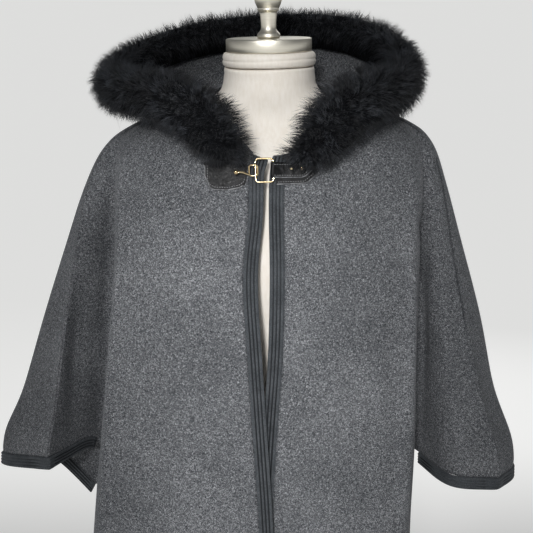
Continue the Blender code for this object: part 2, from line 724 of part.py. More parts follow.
def fur_point(stations, i, turn):
    point, size = stations[i]
    across, out = fur_frame(stations, i)
    return point + across * size.x * math.cos(turn) + out * size.y * math.sin(turn)


def lift_off(stations, under, gap):
    """Each station of the roll, moved out until its section keeps the gap to what it lies on."""
    lifts = []
    for i in range(len(stations)):
        lift = 0.0
        _, out = fur_frame(stations, i)
        for k in range(2 * FUR_SIDES):
            point = fur_point(stations, i, math.pi * k / FUR_SIDES) - out * gap
            depth = depth_under(point, out, under)
            if depth:
                lift = max(lift, depth + gap)
        lifts.append(lift)
    smooth = [max(mix(max(lifts[max(i - 1, 0):i + 2]), lift, 0.4), lift) for i, lift in enumerate(lifts)]
    return [(point + fur_frame(stations, i)[1] * smooth[i], size) for i, (point, size) in enumerate(stations)]


def build_fur(stations, fur):
    rings = []
    for i in range(len(stations)):
        rings.append([fur_point(stations, i, 2 * math.pi * k / FUR_SIDES) for k in range(FUR_SIDES)])
    return add_piece("fur_trim", *stack(rings), fur)


def hood_rim(stations, share, lean, fur_tree):
    """Where the hood meets the fur: the low side of the roll, leaning in or out from the neck."""
    where = share * FUR_STATIONS
    i = min(int(where), FUR_STATIONS - 1)
    middle = stations[i][0].lerp(stations[i + 1][0], where - i)
    outward = Vector((middle.x, middle.y, 0)).normalized()
    direction = (outward * lean + Vector((0, 0, -1))).normalized()
    hit = fur_tree.ray_cast(middle, direction)[0]
    return hit + direction * (CLOTH + 1.6)


def hood_section(row, sign, stations, fur_tree):
    start = neckline(row.angle, sign) + Vector((0, 0, 2.5))
    share = row.fur_share if sign < 0 else 1.0 - row.fur_share
    rim = hood_rim(stations, share, row.lean, fur_tree)
    reach = row.depth / POUCH_DEPTH
    points = []
    for fold in HOOD_SECTION:
        point = start.lerp(rim, mix(fold.flat_along, fold.pouch_along, reach))
        flat = mix(start.z, rim.z, fold.flat_along) + fold.rise
        pouch = mix(start.z - row.depth, rim.z if fold.far else start.z, fold.height)
        point.z = mix(flat, pouch, min(1.0, reach * 2.5))
        points.append(point)
    return points


def build_hood(stations, under, fur_tree, cloth):
    halves = []
    for sign in (-1, 1):
        rows = [hood_section(row, sign, stations, fur_tree) for row in HOOD]
        lines = [through([row[k] for row in rows], HOOD_CELLS) for k in range(len(HOOD_SECTION))]
        half = []
        for step in range(len(lines[0])):
            section = through([line[step] for line in lines], SECTION_CELLS)
            half.append([rest_on(point, under, EASE, CLOTH) for point in section])
        halves.append(half)
    columns = halves[0] + halves[1][-2::-1]
    wall = Wall(columns, (len(halves[0]) - 1, sum(SECTION_CELLS[:4])), UPWARD)
    return wall.build("hood", cloth)


# ---------------------------------------------------------------- clasp

class ClaspPlane:
    """The plane of the clasp: x across, up along the chest's slope, and out from the cloth."""

    def __init__(self, under):
        self.under = under
        self.up = Vector((0, math.sin(CLASP_LEAN), math.cos(CLASP_LEAN)))
        self.out = Vector((0, -math.cos(CLASP_LEAN), math.sin(CLASP_LEAN)))
        self.middle = Vector((0, CLASP_Y, CLASP_Z))

    def place(self, x, up, out):
        return self.middle + Vector((x, 0, 0)) + self.up * up + self.out * out

    def cloth(self, x, low, high):
        """How far out the cloth and its bands stand at x, between two heights."""
        above, most = 60.0, -100.0
        for step in range(27):
            start = self.place(x + (step % 3 - 1) * SIDE_LOOK, mix(low, high, step // 3 / 8), above)
            for tree in self.under:
                hit, _, _, distance = tree.ray_cast(start, -self.out)
                if hit:
                    most = max(most, above - distance)
        return most


def tube(path, radius, closed=False, sides=8):
    """Points and faces of a wire along a path that turns in any plane."""
    count = len(path)
    points = []
    side = None
    for i, point in enumerate(path):
        before = path[i - 1] if closed or i else path[0]
        after = path[(i + 1) % count] if closed or i < count - 1 else path[-1]
        run = (after - before).normalized()
        if side is None:
            side = run.cross(Vector((0.05, -1, 0.02)))
        side = (side - run * side.dot(run)).normalized()
        up = side.cross(run)
        for k in range(sides):
            turn = 2 * math.pi * k / sides
            points.append(point + side * radius * math.cos(turn) + up * radius * math.sin(turn))
    faces = []
    for i in range(count if closed else count - 1):
        here, there = i * sides, (i + 1) % count * sides
        for k in range(sides):
            m = (k + 1) % sides
            faces.append((here + k, here + m, there + m, there + k))
    if not closed:
        faces.append(tuple(reversed(range(sides))))
        faces.append(tuple((count - 1) * sides + k for k in range(sides)))
    return points, faces


def rounded_loop(width, height, radius, steps=4):
    """Across and up of a rectangle with round corners, along its middle line."""
    loop = []
    for corner in range(4):
        x = (width / 2 - radius) * (1 if corner in (0, 3) else -1)
        z = (height / 2 - radius) * (1 if corner in (0, 1) else -1)
        for step in range(steps + 1):
            angle = math.pi / 2 * (corner + step / steps)
            loop.append((x + radius * math.cos(angle), z + radius * math.sin(angle)))
    return loop


def bead(middle, radius, rings=7, sides=12):
    stack_of = []
    for i in range(1, rings):
        turn = math.pi * i / rings
        stack_of.append([middle + Vector((radius * math.sin(turn) * math.cos(2 * math.pi * k / sides),
                                          radius * math.sin(turn) * math.sin(2 * math.pi * k / sides),
                                          -radius * math.cos(turn))) for k in range(sides)])
    return stack(stack_of)


def weld(target, others):
    """Joins other closed shapes into the target as one solid."""
    for other in others:
        join = target.modifiers.new("join", "BOOLEAN")
        join.operation = "UNION"
        join.solver = "EXACT"
        join.object = other
        other.hide_render = True
        other.display_type = "WIRE"


def ribbon(name, path, reach, plane, material):
    """A strip of leather: its middle line as x and out, and a function that gives its low and high edge at each x."""
    half = LEATHER / 2
    points = []
    for i, (x, out) in enumerate(path):
        before, after = path[max(i - 1, 0)], path[min(i + 1, len(path) - 1)]
        run = Vector((after[0] - before[0], after[1] - before[1])).normalized()
        side = Vector((-run.y, run.x)) * half
        low, high = reach(x)
        points += [plane.place(x + side.x, low, out + side.y), plane.place(x - side.x, low, out - side.y),
                   plane.place(x - side.x, high, out - side.y), plane.place(x + side.x, high, out + side.y)]
    rings = [points[4 * i:4 * i + 4] for i in range(len(path))]
    return add_piece(name, *stack(rings), material)


def lying(plane, places, low, high):
    """The outs of a strip's middle line that keep it just off the cloth, without hollows."""
    outs = [plane.cloth(x, low, high) + SEAM_GAP + LEATHER / 2 for x in places]
    for i in range(1, len(outs) - 1):
        for j in range(i + 1, len(outs)):
            share = (places[i] - places[i - 1]) / (places[j] - places[i - 1])
            outs[i] = max(outs[i], mix(outs[i - 1], outs[j], share))
    return list(zip(places, outs))


def fold_round(bar_x, bar_out, radius, sign, steps=6):
    """A strip's turn round a bar, from over it to under it. The sign says on which side of the bar it turns."""
    return [(bar_x + sign * radius * math.sin(math.pi * i / steps), bar_out + radius * math.cos(math.pi * i / steps))
            for i in range(steps + 1)]


def table_reach(rows):
    """Low and high edge of a strip from rows of x, low and high."""
    def reach(x):
        x = min(max(x, rows[0][0]), rows[-1][0])
        for (x0, low0, high0), (x1, low1, high1) in zip(rows, rows[1:]):
            if x <= x1:
                share = (x - x0) / (x1 - x0)
                return mix(low0, low1, share), mix(high0, high1, share)
    return reach


def build_ring(plane, bar_out, gold):
    loop = rounded_loop(RING_WIDTH, RING_HEIGHT, RING_CORNER)
    ring = [plane.place(RING_X + x, up, bar_out) for x, up in loop]
    add_piece("clasp_ring", *tube(ring, WIRE_RADIUS, closed=True), gold)


def build_hook(plane, bar_out, gold):
    """The hook: an eye linked round the ring's outer bar, a bent neck, and a ball that lies over the tab."""
    lean = math.asin((2 * WIRE_RADIUS + SEAM_GAP) / (EYE_HEIGHT / 2 - 1.0))
    eye_x = RING_X - RING_WIDTH / 2 - EYE_WIDTH / 2 + EYE_INSIDE
    eye = []
    for x, up in rounded_loop(EYE_WIDTH, EYE_HEIGHT, 2.2, 3):
        eye.append(plane.place(eye_x + x, up * math.cos(lean), bar_out + up * math.sin(lean)))
    hook = add_piece("clasp_hook", *tube(eye, WIRE_RADIUS * 0.9, closed=True), gold)
    eye_end = eye_x - EYE_WIDTH / 2
    neck = through([plane.place(eye_end + x, up, bar_out + out) for x, up, out in HOOK_NECK], [4, 4, 4])
    _, ball_up, ball_out = HOOK_NECK[-1]
    ball = plane.place(BALL_X, ball_up, bar_out + ball_out)
    weld(hook, [add_piece("hook_neck", *tube(neck, WIRE_RADIUS * 1.05), gold),
                add_piece("hook_ball", *bead(ball, BALL_RADIUS), gold)])
    return eye_end


def build_rivet(name, seat, plane, gold):
    rings = []
    for radius, out in RIVET_OUTLINE:
        turns = [2 * math.pi * k / 10 for k in range(10)]
        rings.append([seat + plane.out * out + Vector((1, 0, 0)) * radius * math.cos(turn)
                      + plane.up * radius * math.sin(turn) for turn in turns])
    add_piece(name, *stack(rings), gold)


def spread(start, end, count):
    return [mix(start, end, i / (count - 1)) for i in range(count)]


def build_clasp(under, leather, gold):
    plane = ClaspPlane(under)
    ribs = max(plane.cloth(x, -16, 16) for x in range(-28, 24, 2))
    bar_out = ribs + SEAM_GAP + LEATHER + WIRE_RADIUS + SEAM_GAP + HOOK_ROOM
    build_ring(plane, bar_out, gold)
    hook_end = build_hook(plane, bar_out, gold)
    flat = lying(plane, spread(TAB_RIGHT_REACH[0][0], hook_end - 3.0, 10), -22, 12)
    ribbon("tab_right", flat, table_reach(TAB_RIGHT_REACH), plane, leather)

    bar_x = RING_X + RING_WIDTH / 2
    flat = lying(plane, spread(TAB_LEFT_REACH[-1][0], bar_x + 2.5, 9), -17, 12)
    ribbon("tab_left", flat, table_reach(TAB_LEFT_REACH), plane, leather)
    fold = WIRE_RADIUS + SEAM_GAP + LEATHER / 2
    over = []
    for x, out in flat[1:-1]:
        rise = mix(bar_out + fold, out, min(1.0, abs(x - bar_x) / STRAP_RUN))
        over.append((x, max(out + LEATHER + SEAM_GAP, rise)))
    ribbon("strap_left", over + fold_round(bar_x, bar_out, fold, -1), table_reach(STRAP_REACH), plane, leather)
    for number, x in enumerate(RIVET_X, 1):
        near_x, near_out = min(over, key=lambda place: abs(place[0] - x))
        seat = plane.place(near_x, RIVET_UP, near_out + LEATHER / 2 + SEAM_GAP)
        build_rivet("rivet_%d" % number, seat, plane, gold)


def main():
    clear_scene()
    cloth = finish("charcoal_wool", (0.055, 0.058, 0.062), 0.95, 0.0)
    rib = finish("rib_knit", (0.03, 0.033, 0.036), 0.9, 0.0)
    fur = finish("black_fur", (0.006, 0.007, 0.008), 0.9, 0.0)
    jersey = finish("cream_jersey", (0.80, 0.76, 0.70), 0.85, 0.0)
    nickel = finish("brushed_nickel", (0.60, 0.57, 0.50), 0.32, 1.0)
    leather = finish("black_leather", (0.012, 0.012, 0.013), 0.3, 0.0)
    gold = finish("light_gold", (0.80, 0.62, 0.36), 0.25, 1.0)
    steel = finish("painted_steel", (0.05, 0.05, 0.05), 0.4, 0.0)

    form = build_form(jersey, nickel, steel)
    form_tree = surface_tree(form)
    fronts = build_fronts(form_tree, cloth)
    back = build_back(form_tree, cloth)
    build_bands(fronts, back, rib)

    names = ["poncho_front_right", "poncho_front_left", "poncho_back", "band_front_right", "band_front_left"]
    under = [surface_tree(bpy.data.objects[name]) for name in names]
    stations = lift_off(fur_line(), under, EASE)
    fur_tree = surface_tree(build_fur(stations, fur))
    build_hood(stations, under + [fur_tree], fur_tree, cloth)
    build_clasp(under, leather, gold)


main()
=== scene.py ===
"""The looks of a hooded poncho on a limbless dress form, in wool, knit, fur, leather, metal and jersey.

Lengths are in metres and Z is up. The poncho faces -Y, and its left and right are the wearer's. Every cloth
piece is grown from the solid that it replaces, so it lies where that solid lies.
"""
import math

import bmesh
import bpy
import numpy as np
from mathutils import Matrix, Vector, noise
from mathutils.bvhtree import BVHTree
from mathutils.kdtree import KDTree


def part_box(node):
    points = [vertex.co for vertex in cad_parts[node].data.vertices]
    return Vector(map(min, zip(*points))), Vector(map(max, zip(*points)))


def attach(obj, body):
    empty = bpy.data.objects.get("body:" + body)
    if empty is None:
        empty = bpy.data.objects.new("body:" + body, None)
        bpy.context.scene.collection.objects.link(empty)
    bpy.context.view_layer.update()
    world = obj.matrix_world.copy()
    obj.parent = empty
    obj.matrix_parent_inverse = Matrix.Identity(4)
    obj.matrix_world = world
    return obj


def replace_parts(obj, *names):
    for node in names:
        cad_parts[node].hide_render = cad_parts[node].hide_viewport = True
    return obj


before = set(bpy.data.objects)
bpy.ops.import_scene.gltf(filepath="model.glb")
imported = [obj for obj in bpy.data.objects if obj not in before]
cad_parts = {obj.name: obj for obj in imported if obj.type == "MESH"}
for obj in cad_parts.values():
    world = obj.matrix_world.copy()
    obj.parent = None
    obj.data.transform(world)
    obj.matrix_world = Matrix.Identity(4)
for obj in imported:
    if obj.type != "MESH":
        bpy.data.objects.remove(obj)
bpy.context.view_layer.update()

MM = 0.001
FRONT, BACK = (0, -1, 0), (0, 1, 0)

# The photograph's view of the poncho
CAMERA_PLACE = (-0.008, -1.40, 1.58602)
CAMERA_DOWN = math.radians(14.7)
CAMERA_ROLL = math.radians(1.0)
LENS, SENSOR = 72.2, 36.0

# Studio. The floor glows as a lit backdrop does. The glow grows behind the form, between two places on Y, and
# all round it, between two distances. The first distance is under 0, so there is some glow at the form too.
FLOOR_REACH = 400
FLOOR_DROP = 0.5 * MM
GLOW_BEHIND = (0.4, 2.2)
GLOW_ROUND = (-1.0, 4.0)
FLOOR_GLOW = 0.68
SKY = 0.10
SKY_COLOUR = (0.94, 0.97, 1.0, 1.0)
# Round lamps: name, place, aim, width, power
LAMPS = [
    ("key", (-0.25, -1.9, 3.35), (0, 0, 1.2), 1.5, 16),
    ("front", (0.0, -4.2, 1.8), (0, 0, 1.2), 2.2, 2),
    ("back", (0.8, 3.0, 1.9), (0, 0, 1.1), 2.2, 20),
]
# A soft spot on the chest, narrower than it is high: place, aim, radius, power
SPOT = ((-0.40, -2.97, 2.3), (-0.012, -0.1, 1.11), 0.24, 415)
SPOT_CONE = math.radians(24)
SPOT_SHAPE = (0.42, 1.0, 1.0)

# Solids
HAIRLINE = 0.02 * MM            # nearer points are joined, and a ray starts this far under its own face
QUAD_BEND = math.radians(50)    # two triangles that make a square are joined, if it bends or skews less
QUAD_SKEW = math.radians(70)

# Cloth
CLOTH = 2.2 * MM            # thickness of the wool
WALL_REACH = 1.5 * CLOTH    # a wall's other face is nearer than this behind a face
WALL_TURN = 0.6             # how squarely the two look away from each other, at least
WALL_EDGE = math.radians(55)
WAVE_HEIGHT = 1.1 * MM      # uneven lie of the wool
WAVE_LENGTH = 0.16
FADE_START = 0.08           # a crease's height follows an arch, less this share of it at each end
FADE_POWER = 0.8
SEAM_WIDTH = 4.0 * MM
SEAM_DEPTH = 1.0 * MM
SEAM_GAP = 1.6 * MM         # pieces nearer than this are sewn together
SEAM_LAP = 1.5              # how far an edge reaches to its neighbour, as a share of the gap between them
BAND_WIDTH = 17.5 * MM
BODY_MIDDLE = Vector((0, 0.02, 0))      # the front and hem bands go round this
RIBS = 4
RIB_ROUNDS = 12             # rounds of evening out that wipe the ribs off
RIB_GAIN = 0.7              # how much more the ribs stand out, as a share of what they do
RIB_HEIGHT = 0.4 * MM
INSIDE_TURN = 0.3           # how squarely the inside of a band faces its middle, at least
INSIDE_LEAST = 6 * MM       # and how far it is from it along its normal, at least
WOOL_NODES = ["poncho_front_left", "poncho_front_right", "poncho_back"]
BAND_NODES = ["band_front_left", "band_front_right", "band_sleeve_left", "band_sleeve_right",
              "band_hem_front_left", "band_hem_front_right", "band_hem_back"]
CLOTH_NODES = WOOL_NODES + ["hood"] + BAND_NODES
LEATHER_NODES = ["tab_left", "tab_right", "strap_left"]

# Creases in the wool of each panel: the side that it is seen from, then each crease's points across and up,
# and its half width and height, all in millimetres. A trough's height is under 0.
CREASES = {
    "poncho_front_left": (FRONT, [
        ([(178, 1370), (175, 1290), (174, 1200), (173, 1100), (172, 1000), (168, 900)], 8, 6.0),
        ([(188, 1300), (197, 1200), (203, 1100), (206, 1000), (206, 930)], 11, -8.0),
        ([(152, 1240), (149, 1150), (151, 1050), (155, 930), (158, 780)], 10, -2.6),
        ([(128, 1240), (126, 1120), (130, 960), (134, 760)], 16, 2.2),
        ([(60, 1100), (66, 940), (70, 760), (72, 580)], 30, 3.0),
        ([(100, 980), (104, 840), (106, 660)], 24, -2.6),
        ([(232, 1220), (256, 1080), (270, 970)], 12, -2.4),
    ]),
    "poncho_front_right": (FRONT, [
        ([(-185, 1380), (-187, 1310), (-193, 1230), (-202, 1160), (-212, 1080), (-224, 970), (-232, 900)],
         8, 6.5),
        ([(-205, 1320), (-216, 1220), (-229, 1120), (-240, 1030), (-248, 960)], 11, -9.0),
        ([(-258, 1180), (-268, 1100), (-279, 1010), (-284, 950)], 15, -7.0),
        ([(-148, 1220), (-156, 1060), (-164, 880), (-172, 660)], 22, -2.8),
        ([(-112, 1220), (-118, 1060), (-124, 880), (-130, 660)], 24, 3.4),
        ([(-70, 1080), (-72, 920), (-76, 720)], 24, -2.4),
    ]),
    "poncho_back": (BACK, [
        ([(-150, 1340), (-158, 1180), (-164, 1000), (-170, 800), (-176, 600)], 26, 4.6),
        ([(-88, 1280), (-94, 1080), (-98, 860), (-102, 620)], 30, -4.2),
        ([(-28, 1300), (-22, 1100), (-26, 880), (-20, 600)], 34, 4.4),
        ([(46, 1240), (52, 1040), (56, 820), (52, 580)], 28, -3.8),
        ([(112, 1320), (116, 1140), (122, 920), (126, 660)], 30, 4.6),
        ([(176, 1200), (186, 1040), (182, 860), (186, 640)], 20, -2.8),
        ([(236, 1260), (262, 1120), (282, 980)], 15, 2.8),
        ([(-240, 1280), (-276, 1140), (-306, 1000)], 18, 3.4),
        ([(-214, 1220), (-240, 1100), (-262, 980)], 14, -2.6),
    ]),
}

# Softened solids: where two faces turn by more than an angle in degrees, the edge stays sharp by a share
RIB_RULES = ((75, 1.0), (35, 0.35))
JERSEY_RULES = ((50, 1.0),)
ROLL_RULES = ((80, 0.5),)
LEATHER_RULES = ((60, 0.62),)
RIVET_RULES = ((75, 0.5),)
NO_RULES = ()
# Edges that are steeper than this are shaded as sharp
SOFT_EDGE, LEATHER_EDGE, GOLD_EDGE = math.radians(60), math.radians(75), math.radians(80)

# Jersey: its uneven lie, and the creases round its neck, by height, half width and depth in millimetres, and
# by the turn of the deepest place from the front. They wander up and down round the neck.
JERSEY_LUMP, JERSEY_LUMP_HEIGHT = 0.05, 0.25 * MM
NECK_CREASES = [(1485.5, 2.6, 1.6, 0.1), (1476.2, 2.8, 1.2, -0.5), (1466.8, 3.4, 0.8, 0.7)]
NECK_LEAST = 0.45           # share of its depth that a crease has a quarter turn from its deepest place
NECK_WANDER, NECK_TURNS, NECK_SHIFT = 1.6 * MM, 1.7, 40
# Its rolled top: uneven lie, and the fold round its outside
ROLL_LUMP, ROLL_LUMP_HEIGHT = 0.012, 0.3 * MM
ROLL_OUTSIDE = 0.056        # the outside is farther than this from the middle
ROLL_FOLD, ROLL_FOLD_WIDTH, ROLL_FOLD_DEPTH = 1.4955, 1.7 * MM, 0.9 * MM
ROLL_WANDER, ROLL_TURNS = 0.8 * MM, 2.3

# Fur
FUR_SEED = 7
HAIRS = 68000
HAIR_PIECES = 5
HAIR_SIDES = 3
HAIR_ACROSS = (0.31, 0.52, 0.79)    # a hair's first corner stands square to this direction
HAIR_LENGTH = (0.022, 0.038)
HAIR_RADIUS = (0.18 * MM, 0.39 * MM)
HAIR_REACH = (-0.0060, 0.0075)      # from the fur's outer face to the tips
NECK_REACH = (0.0, 0.016)           # more, where the fur's front ends face the neck
FRONT_ENDS = -0.03                  # the front ends are in front of this
HAIR_DROOP = 0.22                   # how much a hair leans down, with its lock, and on its own
LOCK_LEAN = 0.20
HAIR_STRAY = 0.10
HAIR_BEND = 0.12                    # how far a hair's middle stands out, as a share of its length
BEND_ALONG, BEND_RADIUS = 0.55, 0.8     # how far along it counts as, and how thick the hair is there
LOCKS = 1100
LOCK_GATHER = (0.025, 0.275)        # share of the way to their lock's middle that the tips move
LOCK_SHIFT = 0.003                  # how far a lock's tips move with its lean
LOCK_SHADE = 0.6                    # share of a hair's shade that comes from its lock, a painted highlight that brightens whole locks
BLOCK = 4000                        # hairs that are sorted into locks at a time
TIP_SEARCH, TIP_CLEAR = 0.03, 1.2 * MM      # a tip or bend this near to the cloth stays this far over it
ROOT_SEARCH, ROOT_CLEAR = 0.02, 1.5 * MM
BURIED = 12 * MM                    # hairs deeper in the cloth are left out
PILE = 0.0075                       # from the fur's outer face down to its dense part
HOOD_NEAR = 0.012                   # nearer to the hood, the dense part presses on it
HOOD_PRESS = 4.5 * MM
HOOD_FADE = 0.016                   # over this distance more, it goes down to its depth

# Turned metal, in millimetres
TURNED_SIDES, POLE_SIDES = 96, 48
TURNED_EDGE = math.radians(45)
CAP_BOTTOM = [(1.4, 0), (0.4, 0.3), (0, 1.2)]       # in from the cap's side, and up from its bottom
CAP_TOP = [(0, 2.0), (0.5, 0.6), (2.0, 0)]          # in from its side, and down from its top
FINIAL_STEPS, BASE_STEPS = 4, 3
# Finial: radius, and height over its seat
FINIAL = [
    (13.4, 0), (14.8, 0.9), (15.0, 2.6), (14.6, 4.6), (13.4, 6.4), (11.6, 8.2), (10.2, 10.6), (9.8, 13.4),
    (9.9, 19), (10.4, 26), (11.0, 31.4), (12.4, 33.2), (14.2, 34.8), (13.8, 36.8), (15.2, 40), (17.0, 44.6),
    (18.3, 50), (18.5, 56), (17.3, 62), (14.4, 67.6), (10.2, 71.6), (5.6, 74.0), (1.2, 75.0),
]
# Base: in from its rim and up, then radius and height, then radius and down from the top
BASE_RIM = [(1.6, 0), (0.4, 0.5), (0, 2), (0, 7), (1.2, 10), (4, 12), (40, 12.6)]
BASE_HUB = [(60, 13.2), (36, 14.2), (27, 17), (22.5, 22), (20.6, 30)]
BASE_SOCKET = [(20, 2), (18, 0)]

# Clasp plane, as in the solids: its middle point and its lean back along the chest
CLASP_MIDDLE = Vector((0, -0.118, 1.3695))
CLASP_LEAN = math.radians(15)
CLASP_UP = Vector((0, math.sin(CLASP_LEAN), math.cos(CLASP_LEAN)))
CLASP_OUT = Vector((0, -math.cos(CLASP_LEAN), math.sin(CLASP_LEAN)))
CLASP_FRONT = 0.05          # rays to the leather start this far in front of the plane
# Stitch lines and rounded edges of the leather, across and up in the plane of the clasp, in millimetres
STITCHES = {
    "tab_right": [[(-77.6, 8), (-77.6, -10), (-74.5, -15.6), (-68.6, -18.8), (-54, -19.8), (-40, -17.2),
                   (-34.6, -14), (-32.2, -9)]],
    "strap_left": [[(3.4, -6.4), (38.2, -6.4), (45.6, 0.2)], [(3.4, 6.6), (38.2, 6.6), (45.0, 1.6)]],
    "tab_left": [[(7.4, -14.2), (39.4, -13.4), (50.8, -4.4)]],
}
EDGES = {
    "tab_right": [[(-80.7, 8), (-80.6, -6), (-79.6, -12.6), (-76.4, -18.2), (-69.8, -21.6), (-54, -22.6),
                   (-38.4, -19.7), (-31.8, -16), (-29, -10)]],
    "strap_left": [[(3.0, -8.8), (39.6, -8.8), (49.0, -0.2)]],
    "tab_left": [[(6.0, -16.8), (39.8, -15.8), (45.6, -13.4), (54.8, -4.4)]],
}
STITCH_LENGTH, STITCH_STEP = 2.0, 3.0
STITCH_RADIUS, STITCH_LIFT = 0.42 * MM, 0.1 * MM
EDGE_RADIUS = 0.75 * MM
CORD_SIDES = 6
CORD_STEP = 1.0             # length of a cord's bits, in millimetres
CORD_END = 0.4              # thickness of its ends, as a share of its own


# ---------------------------------------------------------------- finishes

class Field:
    """A value that changes over a surface, which can be calculated with."""

    def __init__(self, finish, socket):
        self.finish = finish
        self.socket = socket

    def calculate(self, operation, *values):
        return self.finish.node("ShaderNodeMath", {"operation": operation}, values)

    def __add__(self, other):
        return self.calculate("ADD", self, other)

    def __sub__(self, other):
        return self.calculate("SUBTRACT", self, other)

    def __rsub__(self, other):
        return self.calculate("SUBTRACT", other, self)

    def __mul__(self, other):
        return self.calculate("MULTIPLY", self, other)

    def __pow__(self, other):
        return self.calculate("POWER", self, other)

    __radd__ = __add__
    __rmul__ = __mul__

    def wave(self):
        return self.calculate("SINE", self)

    def larger(self, other):
        return self.calculate("MAXIMUM", self, other)

    def between(self, low, high):
        """0 below low and 1 above high, with a soft step."""
        return self.finish.node("ShaderNodeMapRange", {"interpolation_type": "SMOOTHSTEP"},
                                {"Value": self, "From Min": low, "From Max": high})


class Finish:
    """A material, built from its shader nodes."""

    def __init__(self, name, **constants):
        self.material = bpy.data.materials.new(name)
        self.material.use_nodes = True
        self.tree = self.material.node_tree
        self.shader = self.tree.nodes["Principled BSDF"]
        self.feed(self.shader, {key.replace("_", " "): value for key, value in constants.items()})
        self.place = self.node("ShaderNodeTexCoord", {}, {}, "Object")

    def feed(self, node, values):
        pairs = values.items() if isinstance(values, dict) else enumerate(values)
        for key, value in pairs:
            if isinstance(value, Field):
                self.tree.links.new(value.socket, node.inputs[key])
            elif isinstance(value, tuple) and len(value) == 3 and node.inputs[key].type == "RGBA":
                node.inputs[key].default_value = (*value, 1.0)
            else:
                node.inputs[key].default_value = value

    def node(self, kind, settings, values, output=0):
        new = self.tree.nodes.new(kind)
        for key, value in settings.items():
            setattr(new, key, value)
        self.feed(new, values)
        return Field(self, new.outputs[output])

    def stretched(self, x, y, z):
        """Places on the surface, with each direction multiplied."""
        return self.node("ShaderNodeVectorMath", {"operation": "MULTIPLY"}, [self.place, (x, y, z)])

    def cloudy(self, scale, detail=2.0, roughness=0.5, place=None, distortion=0.0):
        values = {"Vector": place or self.place, "Scale": scale, "Detail": detail, "Roughness": roughness,
                  "Distortion": distortion}
        return self.node("ShaderNodeTexNoise", {}, values)

    def cells(self, scale, feature="F1", place=None):
        values = {"Vector": place or self.place, "Scale": scale}
        return self.node("ShaderNodeTexVoronoi", {"feature": feature}, values)

    def stored(self, name):
        """A value that is stored in the mesh's points."""
        return self.node("ShaderNodeAttribute", {"attribute_name": name}, {}, "Fac")

    def blend(self, share, first, second):
        """A colour between two."""
        return self.node("ShaderNodeMix", {"data_type": "RGBA"}, {0: share, 6: first, 7: second}, 2)

    def finish(self, colour=None, roughness=None, relief=None, depth=0.001, strength=1.0):
        """Feeds the shader. The relief is a height, depth its size in metres."""
        if colour:
            self.feed(self.shader, {"Base Color": colour})
        if roughness:
            self.feed(self.shader, {"Roughness": roughness})
        if relief:
            values = {"Height": relief, "Distance": depth, "Strength": strength}
            self.feed(self.shader, {"Normal": self.node("ShaderNodeBump", {}, values)})
        return self.material


def wool(name, dark, middle, pale):
    """Felted melange wool: dark and pale fibres in short curls, a fuzz that catches the light, and painted
    shade along its seams.
    """
    felt = Finish(name, Roughness=0.95, Specular_IOR_Level=0.15, Sheen_Weight=0.08, Sheen_Roughness=0.5,
                  Sheen_Tint=(0.75, 0.78, 0.82))
    curls = felt.cloudy(520, 4.0, 0.72, distortion=1.4)
    fibres = felt.cloudy(1150, 2.0, 0.6, distortion=0.8)
    drift = felt.cloudy(11, 3.0, 0.55)
    grain = curls * 0.62 + fibres * 0.38 + drift * 0.07 - 0.035
    ground = felt.blend(grain.between(0.38, 0.52), dark, middle)
    colour = felt.blend(grain.between(0.50, 0.63), ground, pale)
    # painted shade: darker along the seams, standing in for shade in their grooves
    colour = felt.blend(felt.stored("seam").between(0.5, 1.0) * 0.65, colour, dark)
    return felt.finish(colour, relief=curls * 0.6 + fibres * 0.4, depth=0.0008, strength=0.7)


def rib_knit():
    """Dense knitted rib, with painted shade, near black, between its ridges. Its inside shows the same ribs,
    as bumps and painted stripes of shade.
    """
    knit = Finish("rib_knit", Roughness=0.85, Specular_IOR_Level=0.25, Sheen_Weight=0.1, Sheen_Roughness=0.5,
                  Sheen_Tint=(0.7, 0.75, 0.8))
    yarn = knit.cloudy(900, 2.0, 0.6)
    drift = knit.cloudy(60, 2.0, 0.5)
    stitch = knit.cells(1100)
    inside = knit.stored("inside")
    stripes = (knit.stored("across") * (2 * math.pi * RIBS)).wave() * 0.5 + 0.5
    ridge = knit.stored("ridge") * (1 - inside) + stripes * inside
    mottle = (yarn * 0.8 + drift * 0.3).between(0.38, 0.75)
    ground = knit.blend(mottle, (0.034, 0.038, 0.043), (0.094, 0.103, 0.112))
    # painted shade: near black in the grooves between the ribs, and in painted stripes on the inside
    colour = knit.blend(ridge.between(0.22, 0.62), (0.010, 0.011, 0.013), ground)
    relief = stitch * 0.5 + yarn * 0.5 + stripes * inside
    return knit.finish(colour, relief=relief, depth=0.0006, strength=0.6)


def fur_hair():
    """Hair, near black at the root and greyer at the tip. The grey is partly the hair's own and partly
    painted highlight, strongest on some locks.
    """
    hair = Finish("fur_hair", Roughness=0.42, Specular_IOR_Level=0.5)
    along = hair.stored("along")
    shade = hair.stored("shade")
    dark = hair.blend(shade, (0.004, 0.0045, 0.006), (0.014, 0.0155, 0.019))
    # painted highlight: grey tips, partly the hair's own colour, brightest on some locks
    tip = hair.blend(shade ** 2.2, (0.007, 0.008, 0.010), (0.135, 0.150, 0.178))
    body = hair.blend(along.between(0.05, 0.6), (0.0025, 0.003, 0.004), dark)
    return hair.finish(hair.blend(along.between(0.55, 1.0), body, tip))


def fur_ground():
    """The dense pile under the hairs."""
    ground = Finish("fur_ground", Roughness=0.95, Specular_IOR_Level=0.1)
    pile = ground.cloudy(420, 3.0, 0.7)
    colour = ground.blend(pile.between(0.4, 0.7), (0.002, 0.0022, 0.003), (0.010, 0.011, 0.013))
    return ground.finish(colour, relief=pile, depth=0.004)


